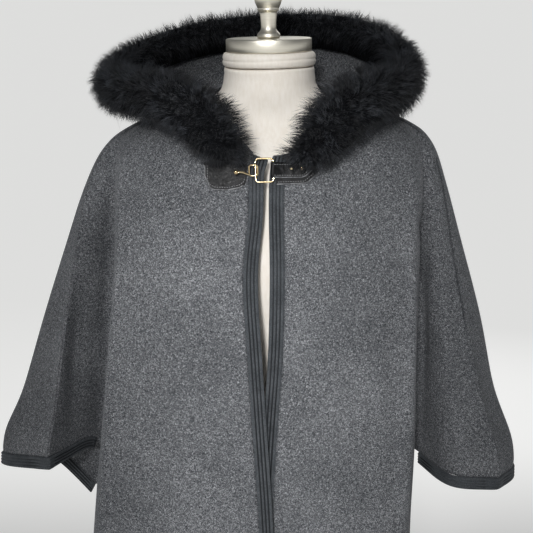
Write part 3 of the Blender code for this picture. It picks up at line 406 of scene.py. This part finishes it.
def jersey():
    """Fine cotton jersey, cream, with its wales running up."""
    cotton = Finish("jersey", Roughness=0.88, Specular_IOR_Level=0.25, Sheen_Weight=0.15, Sheen_Roughness=0.4)
    slub = cotton.cloudy(260, 2.0, 0.55, cotton.stretched(1.0, 1.0, 0.25))
    drift = cotton.cloudy(16, 2.0, 0.5)
    loops = cotton.cells(1300, place=cotton.stretched(1.0, 1.0, 0.6))
    pale = (slub * 0.6 + drift * 0.5).between(0.35, 0.75)
    colour = cotton.blend(pale, (0.85, 0.79, 0.705), (0.92, 0.87, 0.80))
    return cotton.finish(colour, relief=loops * 0.6 + slub * 0.4, depth=0.0004, strength=0.5)


def brushed_nickel():
    """Warm nickel, brushed round the turned shapes."""
    metal = Finish("brushed_nickel", Metallic=1.0, Roughness=0.3, Anisotropic=0.4)
    lines = metal.cloudy(40, 3.0, 0.7, metal.stretched(1.0, 1.0, 60.0))
    smudge = metal.cloudy(45, 2.0, 0.6)
    colour = metal.blend(lines.between(0.3, 0.7), (0.82, 0.78, 0.67), (0.97, 0.93, 0.82))
    return metal.finish(colour, lines * 0.12 + smudge * 0.14 + 0.26, lines, depth=0.00008, strength=0.4)


def leather():
    """Black leather with a fine pebbled grain, soft waves and a low shine."""
    hide = Finish("leather", Specular_IOR_Level=0.22)
    pebbles = hide.cells(950, "DISTANCE_TO_EDGE")
    creased = hide.cloudy(180, 3.0, 0.6)
    waves = hide.cloudy(55, 2.0, 0.5)
    colour = hide.blend(creased.between(0.4, 0.7), (0.003, 0.003, 0.0035), (0.010, 0.0105, 0.012))
    relief = pebbles.between(0.0, 0.35) * 0.05 + creased * 0.12 + waves
    return hide.finish(colour, creased * 0.24 + 0.24, relief, depth=0.0022)


def leather_edge_highlight():
    """The edge of leather, which shines. Its pale grey, in patches, is a painted highlight."""
    edge = Finish("leather_edge_highlight", Specular_IOR_Level=0.5, Coat_Weight=0.1, Coat_Roughness=0.3)
    mottle = edge.cloudy(240, 3.0, 0.6)
    # painted highlight: pale grey standing in for light caught along the edge
    colour = edge.blend(mottle.between(0.35, 0.7), (0.075, 0.078, 0.084), (0.26, 0.265, 0.275))
    return edge.finish(colour, mottle * 0.2 + 0.3, mottle, depth=0.0001)


def pale_gold():
    """Polished pale gold with a few duller places."""
    metal = Finish("pale_gold", Metallic=1.0)
    wear = metal.cloudy(500, 3.0, 0.6)
    dull = metal.cloudy(90, 2.0, 0.5)
    colour = metal.blend(dull.between(0.35, 0.7), (0.80, 0.62, 0.36), (0.90, 0.76, 0.50))
    return metal.finish(colour, dull * 0.10 + wear * 0.08 + 0.06, wear, depth=0.00005, strength=0.3)


def thread():
    """Grey stitching thread."""
    cord = Finish("thread", Roughness=0.7)
    ply = cord.cloudy(2200, 1.0, 0.5)
    colour = cord.blend(ply.between(0.35, 0.65), (0.17, 0.175, 0.185), (0.38, 0.385, 0.395))
    return cord.finish(colour, relief=ply, depth=0.0001)


def stand_paint():
    """Satin black paint with a little dust."""
    paint = Finish("stand_paint", Coat_Weight=0.3, Coat_Roughness=0.3)
    peel = paint.cloudy(320, 2.0, 0.5)
    dust = paint.cloudy(25, 4.0, 0.6)
    colour = paint.blend(dust.between(0.45, 0.75), (0.018, 0.018, 0.019), (0.034, 0.034, 0.035))
    return paint.finish(colour, dust * 0.2 + 0.28, peel, depth=0.0002, strength=0.4)


def floor_paint():
    """A pale studio floor that glows away from the form, as a lit backdrop does."""
    paint = Finish("floor_paint", Roughness=0.9, Specular_IOR_Level=0.1, Emission_Strength=FLOOR_GLOW)
    cloud = paint.cloudy(0.8, 2.0, 0.5)
    behind = paint.node("ShaderNodeSeparateXYZ", {}, [paint.place], "Y").between(*GLOW_BEHIND)
    away = paint.node("ShaderNodeVectorMath", {"operation": "LENGTH"}, [paint.place], "Value")
    around = away.between(*GLOW_ROUND)
    glow = paint.blend(behind.larger(around), (0.0, 0.0, 0.0), (1.0, 1.0, 0.985))
    paint.feed(paint.shader, {"Emission Color": glow})
    return paint.finish(paint.blend(cloud, (0.44, 0.44, 0.44), (0.48, 0.48, 0.48)))


# ---------------------------------------------------------------- shapes

def new_piece(name, mesh, material, slot=None):
    """An object with one finish, attached to the root when it has a slot. The studio's have no slot."""
    obj = bpy.data.objects.new(name, mesh)
    bpy.context.scene.collection.objects.link(obj)
    mesh.materials.clear()
    mesh.materials.append(material)
    if slot:
        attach(obj, "root")
    return obj


def solid_shape(node):
    """The solid's mesh as a bmesh, with its points joined."""
    shape = bmesh.new()
    shape.from_mesh(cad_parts[node].data)
    bmesh.ops.remove_doubles(shape, verts=shape.verts, dist=HAIRLINE)
    return shape


def tree_of(*nodes):
    """A tree of the solids' faces, to find places on them."""
    points, faces = [], []
    for node in nodes:
        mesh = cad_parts[node].data
        faces += [tuple(len(points) + v for v in face.vertices) for face in mesh.polygons]
        points += [v.co.copy() for v in mesh.vertices]
    return BVHTree.FromPolygons(points, faces)


def join_quads(shape):
    """Joins triangles two by two, where they make a square."""
    bmesh.ops.join_triangles(shape, faces=shape.faces, angle_face_threshold=QUAD_BEND,
                             angle_shape_threshold=QUAD_SKEW, cmp_seam=False, cmp_sharp=False)


def as_mesh(shape, name):
    mesh = bpy.data.meshes.new(name)
    shape.to_mesh(mesh)
    shape.free()
    return mesh


def apply_modifiers(obj):
    """Replaces the object's mesh by what its modifiers make of it."""
    depsgraph = bpy.context.evaluated_depsgraph_get()
    made = bpy.data.meshes.new_from_object(obj.evaluated_get(depsgraph))
    material = obj.data.materials[0]
    obj.modifiers.clear()
    obj.data = made
    made.materials.clear()
    made.materials.append(material)
    made.shade_smooth()


def subdivide(obj, levels):
    finer = obj.modifiers.new("finer", "SUBSURF")
    finer.levels = levels
    finer.render_levels = levels
    finer.boundary_smooth = "PRESERVE_CORNERS"
    apply_modifiers(obj)


def outer_skin(node):
    """The larger of a cloth wall's two sheets: of its faces, those with another close behind."""
    shape = solid_shape(node)
    shape.normal_update()
    tree = BVHTree.FromBMesh(shape)
    rim = []
    for face in shape.faces:
        start = face.calc_center_median() - face.normal * HAIRLINE
        normal = tree.ray_cast(start, -face.normal, WALL_REACH)[1]
        if normal is None or normal.dot(face.normal) > -WALL_TURN:
            rim.append(face)
    bmesh.ops.delete(shape, geom=rim, context="FACES")
    sheets, seen = [], set()
    for face in shape.faces:
        if face in seen:
            continue
        sheet, reached = [], [face]
        seen.add(face)
        while reached:
            near = reached.pop()
            sheet.append(near)
            for edge in near.edges:
                for other in edge.link_faces:
                    if other not in seen:
                        seen.add(other)
                        reached.append(other)
        sheets.append(sheet)
    sheets.sort(key=lambda sheet: -sum(face.calc_area() for face in sheet))
    bmesh.ops.delete(shape, geom=[face for sheet in sheets[1:] for face in sheet], context="FACES")
    join_quads(shape)
    return shape


def crease_path(tree, side, way):
    """Where a crease runs on the cloth, from its points across and up."""
    path = []
    for x, z in way:
        place = tree.ray_cast(Vector((x * MM, side[1], z * MM)), -Vector(side))[0]
        if place:
            path.append(np.array(place))
    return path


def read_points(mesh):
    """The mesh's points and their normals."""
    read = []
    for key in ("co", "normal"):
        values = np.empty(len(mesh.vertices) * 3)
        mesh.vertices.foreach_get(key, values)
        read.append(values.reshape(-1, 3))
    return read


def write_points(mesh, points):
    mesh.vertices.foreach_set("co", points.ravel())
    mesh.update()


def store(mesh, **stored):
    """Stores values at the mesh's points, for its finish."""
    for name, values in stored.items():
        mesh.attributes.new(name, "FLOAT", "POINT").data.foreach_set("value", np.asarray(values, float))


def lumps(places):
    """Smooth noise between -1 and 1 at each place."""
    return np.array([noise.noise(place) for place in places])


def find_seams(mesh, points, node):
    """1 at edges that are sewn to another piece, down to 0 away from them, and the edges' moves to it."""
    others = tree_of(*[name for name in CLOTH_NODES if name != node])
    edges = bmesh.new()
    edges.from_mesh(mesh)
    sewn = KDTree(len(points))
    closing = np.zeros_like(points)
    for vertex in edges.verts:
        place = vertex.is_boundary and others.find_nearest(vertex.co, SEAM_GAP)[0]
        if place:
            sewn.insert(vertex.co, vertex.index)
            closing[vertex.index] = (place - vertex.co) * SEAM_LAP
    edges.free()
    sewn.balance()
    away = np.array([sewn.find(place)[2] for place in points])
    return np.exp(-(away / SEAM_WIDTH) ** 2), closing


def crease_share(points, path, width):
    """The share of a crease's height at each point: 1 at its middle, and less to its ends and sides."""
    best = np.full(len(points), np.inf)
    along_path = np.zeros(len(points))
    for i, (start, end) in enumerate(zip(path, path[1:])):
        run = end - start
        along = np.clip(((points - start) @ run) / (run @ run), 0, 1)
        distance = np.linalg.norm(points - start - along[:, None] * run, axis=1)
        nearer = distance < best
        best = np.where(nearer, distance, best)
        along_path = np.where(nearer, (i + along) / (len(path) - 1), along_path)
    fade = np.sin(np.pi * (along_path * (1 - 2 * FADE_START) + FADE_START)) ** FADE_POWER
    return fade * np.exp(-(best / width) ** 2)


def lay_creases(obj, node):
    """Moves the cloth's points by its creases, by its seams and by an uneven lie."""
    mesh = obj.data
    tree = tree_of(node)
    points, normals = read_points(mesh)
    seam, closing = find_seams(mesh, points, node)
    store(mesh, seam=seam)
    push = lumps(points / WAVE_LENGTH) * WAVE_HEIGHT - seam * SEAM_DEPTH
    side, creases = CREASES.get(node, (FRONT, []))
    for way, width, height in creases:
        push += height * MM * crease_share(points, crease_path(tree, side, way), width * MM)
    write_points(mesh, points + normals * push[:, None] + closing)


def thicken(obj):
    """Gives a sheet the wool's thickness, inward."""
    wall = obj.modifiers.new("wall", "SOLIDIFY")
    wall.thickness = CLOTH
    wall.offset = -1.0
    wall.use_even_offset = False
    apply_modifiers(obj)
    obj.data.set_sharp_from_angle(angle=WALL_EDGE)


def make_cloth(node, name, material):
    """A cloth shell in place of a cloth wall, with its creases."""
    obj = new_piece(name, as_mesh(outer_skin(node), name), material, "wool")
    subdivide(obj, 2)
    lay_creases(obj, node)
    thicken(obj)
    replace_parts(obj, node)
    return obj


def crease_edges(shape, rules):
    """Keeps edges sharp, by the first rule that fits each."""
    layer = shape.edges.layers.float.get("crease_edge") or shape.edges.layers.float.new("crease_edge")
    for edge in shape.edges:
        if len(edge.link_faces) == 2:
            angle = math.degrees(edge.calc_face_angle(0.0))
            for least, sharpness in rules:
                if angle > least:
                    edge[layer] = sharpness
                    break


def evened(values, edges, rounds):
    """Values at a mesh's points, after rounds of sharing out between neighbours."""
    first, second = edges.T
    share = np.bincount(edges.ravel(), minlength=len(values)).reshape([-1] + [1] * (values.ndim - 1))
    for _ in range(rounds):
        around = np.zeros_like(values)
        np.add.at(around, first, values[second])
        np.add.at(around, second, values[first])
        values = 0.5 * values + 0.5 * around / share
    return values


def deepen(obj, middle):
    """Raises a band's ribs, and stores where they are, how far across a point is and which points are inside.

    The inside faces the middle, a place that the band goes round.
    """
    mesh = obj.data
    points, normals = read_points(mesh)
    edges = np.empty(len(mesh.edges) * 2, int)
    mesh.edges.foreach_get("vertices", edges)
    inward = (np.array(middle) - points)[:, :2]
    facing = (inward * normals[:, :2]).sum(1)
    inside = (facing > INSIDE_TURN * np.linalg.norm(inward, axis=1)) & (facing > INSIDE_LEAST)
    relief = ((points - evened(points, edges.reshape(-1, 2), RIB_ROUNDS)) * normals).sum(1) * ~inside
    relief = np.clip(relief, -RIB_HEIGHT, RIB_HEIGHT)
    write_points(mesh, points + normals * (relief * RIB_GAIN)[:, None])
    wool_tree = tree_of(*WOOL_NODES)
    across = [wool_tree.find_nearest(place)[3] / BAND_WIDTH for place in points]
    store(mesh, ridge=np.clip(0.5 + 0.5 * relief / RIB_HEIGHT, 0, 1), across=across, inside=inside)


def make_softened(node, name, material, slot, rules, levels=2, edge=SOFT_EDGE):
    """A finer, rounder form of a solid, in its place."""
    shape = solid_shape(node)
    join_quads(shape)
    crease_edges(shape, rules)
    obj = new_piece(name, as_mesh(shape, name), material, slot)
    subdivide(obj, levels)
    obj.data.set_sharp_from_angle(angle=edge)
    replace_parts(obj, node)
    return obj


def ring(shape, middle, first, second, sides):
    """New points in a circle, from its middle and two radii at right angles."""
    turns = [2 * math.pi * k / sides for k in range(sides)]
    return [shape.verts.new(middle + first * math.cos(turn) + second * math.sin(turn)) for turn in turns]


def skin(shape, rings):
    """Faces from ring to ring, and over the first and the last."""
    for low, high in zip(rings, rings[1:]):
        for k in range(len(low)):
            m = (k + 1) % len(low)
            shape.faces.new((low[k], low[m], high[m], high[k]))
    shape.faces.new(list(reversed(rings[0])))
    shape.faces.new(rings[-1])


# ---------------------------------------------------------------- fur

def sample_surface(shape, count, rng):
    """Random points over a mesh with their smooth normals."""
    bmesh.ops.triangulate(shape, faces=shape.faces)
    shape.normal_update()
    corners = np.array([[v.co for v in face.verts] for face in shape.faces])
    normals = np.array([[v.normal for v in face.verts] for face in shape.faces])
    area = np.linalg.norm(np.cross(corners[:, 1] - corners[:, 0], corners[:, 2] - corners[:, 0]), axis=1)
    picked = rng.choice(len(area), count, p=area / area.sum())
    a, b = rng.random(count), rng.random(count)
    over = a + b > 1
    a[over], b[over] = 1 - a[over], 1 - b[over]
    weights = np.stack([1 - a - b, a, b], axis=1)[:, :, None]
    points = (corners[picked] * weights).sum(1)
    ways = (normals[picked] * weights).sum(1)
    return points, ways / np.linalg.norm(ways, axis=1)[:, None]


def unit(vectors):
    return vectors / np.maximum(np.linalg.norm(vectors, axis=1), 1e-9)[:, None]


def hair_mesh(name, root, middle, tip, radius, shade):
    """Hairs as one mesh. Each is bent once and comes to a point."""
    count = len(root)
    run = unit(tip - root)
    side = unit(np.cross(run, HAIR_ACROSS))
    other = np.cross(run, side)
    rings = []
    for place, share in ((root, 1.0), (middle, BEND_RADIUS)):
        for k in range(HAIR_SIDES):
            turn = 2 * math.pi * k / HAIR_SIDES
            rings.append(place + (side * math.cos(turn) + other * math.sin(turn)) * (radius * share)[:, None])
    points = np.stack(rings + [tip], axis=1).reshape(-1, 3)
    point = 2 * HAIR_SIDES
    faces = []
    for k in range(HAIR_SIDES):
        m = (k + 1) % HAIR_SIDES
        above, next_above = k + HAIR_SIDES, m + HAIR_SIDES
        faces += [(k, m, next_above), (k, next_above, above), (above, next_above, point)]
    faces = (np.array(faces)[None] + (point + 1) * np.arange(count)[:, None, None]).reshape(-1, 3)
    mesh = bpy.data.meshes.new(name)
    mesh.vertices.add(len(points))
    mesh.vertices.foreach_set("co", points.ravel())
    mesh.loops.add(faces.size)
    mesh.loops.foreach_set("vertex_index", faces.ravel())
    mesh.polygons.add(len(faces))
    mesh.polygons.foreach_set("loop_start", np.arange(len(faces)) * 3)
    mesh.update(calc_edges=True)
    along = np.tile([0.0] * HAIR_SIDES + [BEND_ALONG] * HAIR_SIDES + [1.0], count)
    store(mesh, along=along, shade=np.repeat(shade, point + 1))
    mesh.shade_smooth()
    return mesh


def comb(points, normals, rng):
    """The hairs' roots, bends, tips and shades, from the points of the fur's outer face that they come to."""
    count = len(points)
    length = rng.uniform(*HAIR_LENGTH, count)
    lock = points[rng.integers(0, count, LOCKS)]
    lean = unit(rng.normal(size=(LOCKS, 3)))
    near = np.empty(count, int)
    for start in range(0, count, BLOCK):
        block = points[start:start + BLOCK]
        near[start:start + BLOCK] = ((block[:, None] - lock[None]) ** 2).sum(2).argmin(1)
    gather = rng.uniform(*LOCK_GATHER, count)[:, None]
    down = np.array([0, 0, -HAIR_DROOP])
    flow = unit(normals + down + lean[near] * LOCK_LEAN + rng.normal(size=(count, 3)) * HAIR_STRAY)
    tip = points + (lock[near] - points) * gather + lean[near] * LOCK_SHIFT
    inward = np.clip(-np.sign(points[:, 0]) * normals[:, 0], 0, 1) * (points[:, 1] < FRONT_ENDS)
    tip += normals * (rng.uniform(*HAIR_REACH, count) + inward * rng.uniform(*NECK_REACH, count))[:, None]
    root = tip - flow * length[:, None]
    middle = (root + tip) / 2 + normals * (length * HAIR_BEND)[:, None]
    # the lock's share is a painted highlight; the rest is tone that differs at random by hair
    shade = LOCK_SHADE * rng.random(LOCKS)[near] + (1 - LOCK_SHADE) * rng.random(count)
    return root, middle, tip, shade


def rest_hairs(root, middle, tip, cloth_tree):
    """Lays hairs that would go through the cloth down on it. Returns which hairs to keep."""
    keep = np.ones(len(root), bool)
    for line, search, clear in ((tip, TIP_SEARCH, TIP_CLEAR), (middle, TIP_SEARCH, TIP_CLEAR),
                                (root, ROOT_SEARCH, ROOT_CLEAR)):
        for i, place in enumerate(line):
            near, normal = cloth_tree.find_nearest(place, search)[:2]
            if near is None:
                continue
            over = (Vector(place) - near).dot(normal)
            if over < clear:
                line[i] = near + normal * clear
            if over < -BURIED and line is not root:
                keep[i] = False
    return keep


def make_fur(material, ground):
    """The fur roll's dense part, and its hairs in a few pieces."""
    rng = np.random.default_rng(FUR_SEED)
    shape = solid_shape("fur_trim")
    join_quads(shape)
    roll = new_piece("fur_roll", as_mesh(shape, "fur_roll"), ground, "fur")
    subdivide(roll, 2)
    fine = bmesh.new()
    fine.from_mesh(roll.data)
    points, normals = sample_surface(fine, HAIRS, rng)
    fine.free()
    hairs = comb(points, normals, rng)
    cloth = tree_of(*WOOL_NODES, "band_front_left", "band_front_right", *LEATHER_NODES)
    keep = rest_hairs(*hairs[:3], cloth)
    root, middle, tip, shade = [values[keep] for values in hairs]
    radius = rng.uniform(*HAIR_RADIUS, len(root))
    ends = np.linspace(0, len(root), HAIR_PIECES + 1).astype(int)
    for k in range(HAIR_PIECES):
        part = slice(ends[k], ends[k + 1])
        name = "fur_hairs_%d" % (k + 1)
        mesh = hair_mesh(name, root[part], middle[part], tip[part], radius[part], shade[part])
        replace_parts(new_piece(name, mesh, material, "fur"), "fur_trim")
    places, ways = read_points(roll.data)
    hood = tree_of("hood", "poncho_back")
    away = np.array([hood.find_nearest(place)[3] for place in places])
    sunk = PILE * np.clip((away - HOOD_NEAR) / HOOD_FADE, 0, 1) - HOOD_PRESS * (away < HOOD_NEAR)
    write_points(roll.data, places - ways * sunk[:, None])
    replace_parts(roll, "fur_trim")


# ---------------------------------------------------------------- form

def turned_mesh(name, profile, sides):
    """A turned shape from its radius and height, closed at both ends on the axis."""
    shape = bmesh.new()
    skin(shape, [ring(shape, Vector((0, 0, z)), Vector((radius, 0, 0)), Vector((0, radius, 0)), sides)
                 for radius, z in profile])
    mesh = as_mesh(shape, name)
    mesh.shade_smooth()
    mesh.set_sharp_from_angle(angle=TURNED_EDGE)
    return mesh


def smooth_profile(rows, steps):
    """A profile that curves through rows of radius and height, with steps between two rows."""
    rows = [Vector(row) for row in rows]
    ends = [rows[0]] + rows + [rows[-1]]
    profile = []
    for a, b, c, d in zip(ends, ends[1:], ends[2:], ends[3:]):
        for step in range(steps):
            t = step / steps
            profile.append(0.5 * ((2 * b) + (c - a) * t + (2 * a - 5 * b + 4 * c - d) * t * t
                                  + (3 * b - a - 3 * c + d) * t ** 3))
    return profile + [rows[-1]]


def make_jersey(material):
    """The torso's jersey with the creases round its neck, and its rolled top."""
    body = make_softened("form_body", "jersey_body", material, "jersey", JERSEY_RULES)
    points, normals = read_points(body.data)
    push = lumps(points / JERSEY_LUMP) * JERSEY_LUMP_HEIGHT
    turn = np.arctan2(points[:, 0], -points[:, 1])
    for height, width, depth, deepest in NECK_CREASES:
        level = height * MM + NECK_WANDER * np.sin(NECK_TURNS * turn + NECK_SHIFT * deepest)
        share = NECK_LEAST + (1 - NECK_LEAST) * np.cos(turn - deepest) * np.cos(0.5 * turn)
        push -= depth * MM * share * np.exp(-((points[:, 2] - level) / (width * MM)) ** 2)
    write_points(body.data, points + normals * push[:, None])
    band = make_softened("form_neck_band", "jersey_rolled_top", material, "jersey", ROLL_RULES, levels=3)
    points, normals = read_points(band.data)
    turn = np.arctan2(points[:, 0], -points[:, 1])
    outer = np.hypot(points[:, 0], points[:, 1]) > ROLL_OUTSIDE
    level = ROLL_FOLD + ROLL_WANDER * np.sin(ROLL_TURNS * turn)
    push = lumps(points / ROLL_LUMP) * ROLL_LUMP_HEIGHT
    push -= ROLL_FOLD_DEPTH * np.exp(-((points[:, 2] - level) / ROLL_FOLD_WIDTH) ** 2)
    write_points(band.data, points + normals * (push * outer)[:, None])


def turn_piece(name, node, profile, material, slot, sides=TURNED_SIDES):
    """A turned piece in place of a solid."""
    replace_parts(new_piece(name, turned_mesh(name, profile, sides), material, slot), node)


def make_metal(nickel, paint):
    """The neck's cap and finial, and the pole with its base."""
    low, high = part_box("form_cap")
    cap = [(high.x - inward * MM, low.z + up * MM) for inward, up in CAP_BOTTOM]
    cap += [(high.x - inward * MM, high.z - down * MM) for inward, down in CAP_TOP]
    turn_piece("neck_cap", "form_cap", cap, nickel, "nickel")
    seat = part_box("form_finial")[0].z
    finial = [(radius * MM, seat + up * MM) for radius, up in FINIAL]
    turn_piece("turned_finial", "form_finial", smooth_profile(finial, FINIAL_STEPS), nickel, "nickel")
    low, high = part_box("form_pole")
    turn_piece("pole", "form_pole", [(high.x, low.z), (high.x, high.z)], paint, "stand", POLE_SIDES)
    low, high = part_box("form_base")
    base = [(high.x - inward * MM, up * MM) for inward, up in BASE_RIM]
    base += [(radius * MM, up * MM) for radius, up in BASE_HUB]
    base += [(radius * MM, high.z - down * MM) for radius, down in BASE_SOCKET]
    turn_piece("round_base", "form_base", smooth_profile(base, BASE_STEPS), paint, "stand")


# ---------------------------------------------------------------- clasp

def round_cord(shape, places, radius):
    """A cord through places, thinner at its ends."""
    rings = []
    last = len(places) - 1
    for i, place in enumerate(places):
        run = (places[min(i + 1, last)] - places[max(i - 1, 0)]).normalized()
        side = run.cross(CLASP_OUT).normalized()
        size = radius * (CORD_END if i in (0, last) else 1.0)
        rings.append(ring(shape, place, side * size, run.cross(side) * size, CORD_SIDES))
    skin(shape, rings)


def line_length(line):
    return sum((Vector(b) - Vector(a)).length for a, b in zip(line, line[1:]))


class Trim:
    """Cords that lie along a line on the front of a leather piece."""

    def __init__(self, node, leather):
        self.node = node
        points = [v.co.copy() for v in leather.data.vertices]
        self.tree = BVHTree.FromPolygons(points, [tuple(f.vertices) for f in leather.data.polygons])
        self.shape = bmesh.new()

    def on_leather(self, line, want, lift):
        """The place on the leather at a length along the line."""
        for start, end in zip(line, line[1:]):
            run = line_length((start, end))
            if want <= run or end == line[-1]:
                flat = Vector(start).lerp(Vector(end), min(want / run, 1.0)) * MM
                break
            want -= run
        above = CLASP_MIDDLE + Vector((flat.x, 0, 0)) + CLASP_UP * flat.y + CLASP_OUT * CLASP_FRONT
        place = self.tree.ray_cast(above, -CLASP_OUT)[0]
        return place and place + CLASP_OUT * lift

    def lay(self, line, step, length, radius, lift):
        """Cords of a length, one each step along the line."""
        bits = max(1, int(length / CORD_STEP))
        start = 0.0
        while start < line_length(line) - 0.5 * length:
            places = [self.on_leather(line, start + length * k / bits, lift) for k in range(bits + 1)]
            places = [place for place in places if place]
            if len(places) > 1:
                round_cord(self.shape, places, radius)
            start += step

    def finished(self, name, material):
        mesh = as_mesh(self.shape, name + self.node)
        mesh.shade_smooth()
        return new_piece(name + self.node, mesh, material, "leather")


def make_clasp(hide, painted, gold, cord):
    """The leather tabs and strap with their stitches and edges, and the gold ring, hook and rivets."""
    for node in LEATHER_NODES:
        piece = make_softened(node, "leather_" + node, hide, "leather", LEATHER_RULES, 3, LEATHER_EDGE)
        stitches = Trim(node, piece)
        for line in STITCHES[node]:
            stitches.lay(line, STITCH_STEP, STITCH_LENGTH, STITCH_RADIUS, STITCH_LIFT)
        stitches.finished("stitches_", cord)
        edge = Trim(node, piece)
        for line in EDGES[node]:
            edge.lay(line, line_length(line), line_length(line), EDGE_RADIUS, 0.0)
        edge.finished("edge_", painted)
    for node, rules in (("clasp_ring", NO_RULES), ("clasp_hook", NO_RULES), ("rivet_1", RIVET_RULES),
                        ("rivet_2", RIVET_RULES)):
        make_softened(node, "gold_" + node, gold, "gold", rules, edge=GOLD_EDGE)


# ---------------------------------------------------------------- studio

def place_lamp(name, kind, place, aim, power):
    lamp = bpy.data.objects.new(name, bpy.data.lights.new(name, kind))
    lamp.data.energy = power
    lamp.location = place
    lamp.rotation_euler = (Vector(aim) - Vector(place)).to_track_quat("-Z", "Y").to_euler()
    bpy.context.scene.collection.objects.link(lamp)
    return lamp


def make_studio():
    floor_shape = bmesh.new()
    bmesh.ops.create_grid(floor_shape, x_segments=2, y_segments=2, size=FLOOR_REACH)
    floor = new_piece("floor", as_mesh(floor_shape, "floor"), floor_paint())
    floor.location.z = -FLOOR_DROP
    world = bpy.data.worlds.new("studio")
    bpy.context.scene.world = world
    world.use_nodes = True
    sky = world.node_tree.nodes["Background"]
    sky.inputs["Color"].default_value = SKY_COLOUR
    sky.inputs["Strength"].default_value = SKY
    for name, place, aim, width, power in LAMPS:
        lamp = place_lamp(name, "AREA", place, aim, power)
        lamp.data.shape = "DISK"
        lamp.data.size = width
    place, aim, radius, power = SPOT
    spot = place_lamp("spot", "SPOT", place, aim, power)
    spot.data.shadow_soft_size = radius
    spot.data.spot_size = SPOT_CONE
    spot.data.spot_blend = 1.0
    spot.scale = SPOT_SHAPE
    bpy.context.scene.view_settings.view_transform = "Standard"


def make_camera():
    data = bpy.data.cameras.new("camera")
    data.lens = LENS
    data.sensor_width = SENSOR
    camera = bpy.data.objects.new("camera", data)
    bpy.context.scene.collection.objects.link(camera)
    turn = Matrix.Rotation(math.radians(90) - CAMERA_DOWN, 4, "X") @ Matrix.Rotation(-CAMERA_ROLL, 4, "Z")
    camera.matrix_world = Matrix.Translation(CAMERA_PLACE) @ turn
    bpy.context.scene.camera = camera


# ---------------------------------------------------------------- poncho

# Panel, width and length of its cut, area of its cut, how it is held, what it lies on
PANELS = [
    ("front_left", (0.52, 0.90), 0.325, "hung", ["form_body"]),
    ("front_right", (0.54, 0.90), 0.345, "hung", ["form_body"]),
    ("back", (1.16, 0.90), 0.735, "hung", ["form_body"]),
    ("hood", (0.44, 0.32), 0.127, "folded", ["wool_back"]),
]
# Ribbed bands: place, length of the cut, what it is sewn to
BANDS = [
    ("front_left", 0.93, ["wool_front_left"]),
    ("front_right", 0.93, ["wool_front_right"]),
    ("sleeve_left", 0.42, ["wool_front_left", "wool_back"]),
    ("sleeve_right", 0.42, ["wool_front_right", "wool_back"]),
    ("hem_front_left", 0.36, ["wool_front_left"]),
    ("hem_front_right", 0.42, ["wool_front_right"]),
    ("hem_back", 0.78, ["wool_back"]),
]


def make_poncho():
    """The wool panels and the ribbed bands along their edges."""
    felt = wool("charcoal_wool", (0.016, 0.018, 0.022), (0.098, 0.102, 0.110), (0.44, 0.45, 0.47))
    for place, flat, area, held, under in PANELS:
        node = place if place == "hood" else "poncho_" + place
        panel = make_cloth(node, "wool_" + place, felt)
    knit = rib_knit()
    for place, length, under in BANDS:
        band = make_softened("band_" + place, "rib_" + place, knit, "rib", RIB_RULES)
        low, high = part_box("band_" + place)
        deepen(band, (low + high) / 2 if place.startswith("sleeve") else BODY_MIDDLE)


make_camera()
make_studio()
make_poncho()
make_fur(fur_hair(), fur_ground())
make_jersey(jersey())
make_metal(brushed_nickel(), stand_paint())
make_clasp(leather(), leather_edge_highlight(), pale_gold(), thread())
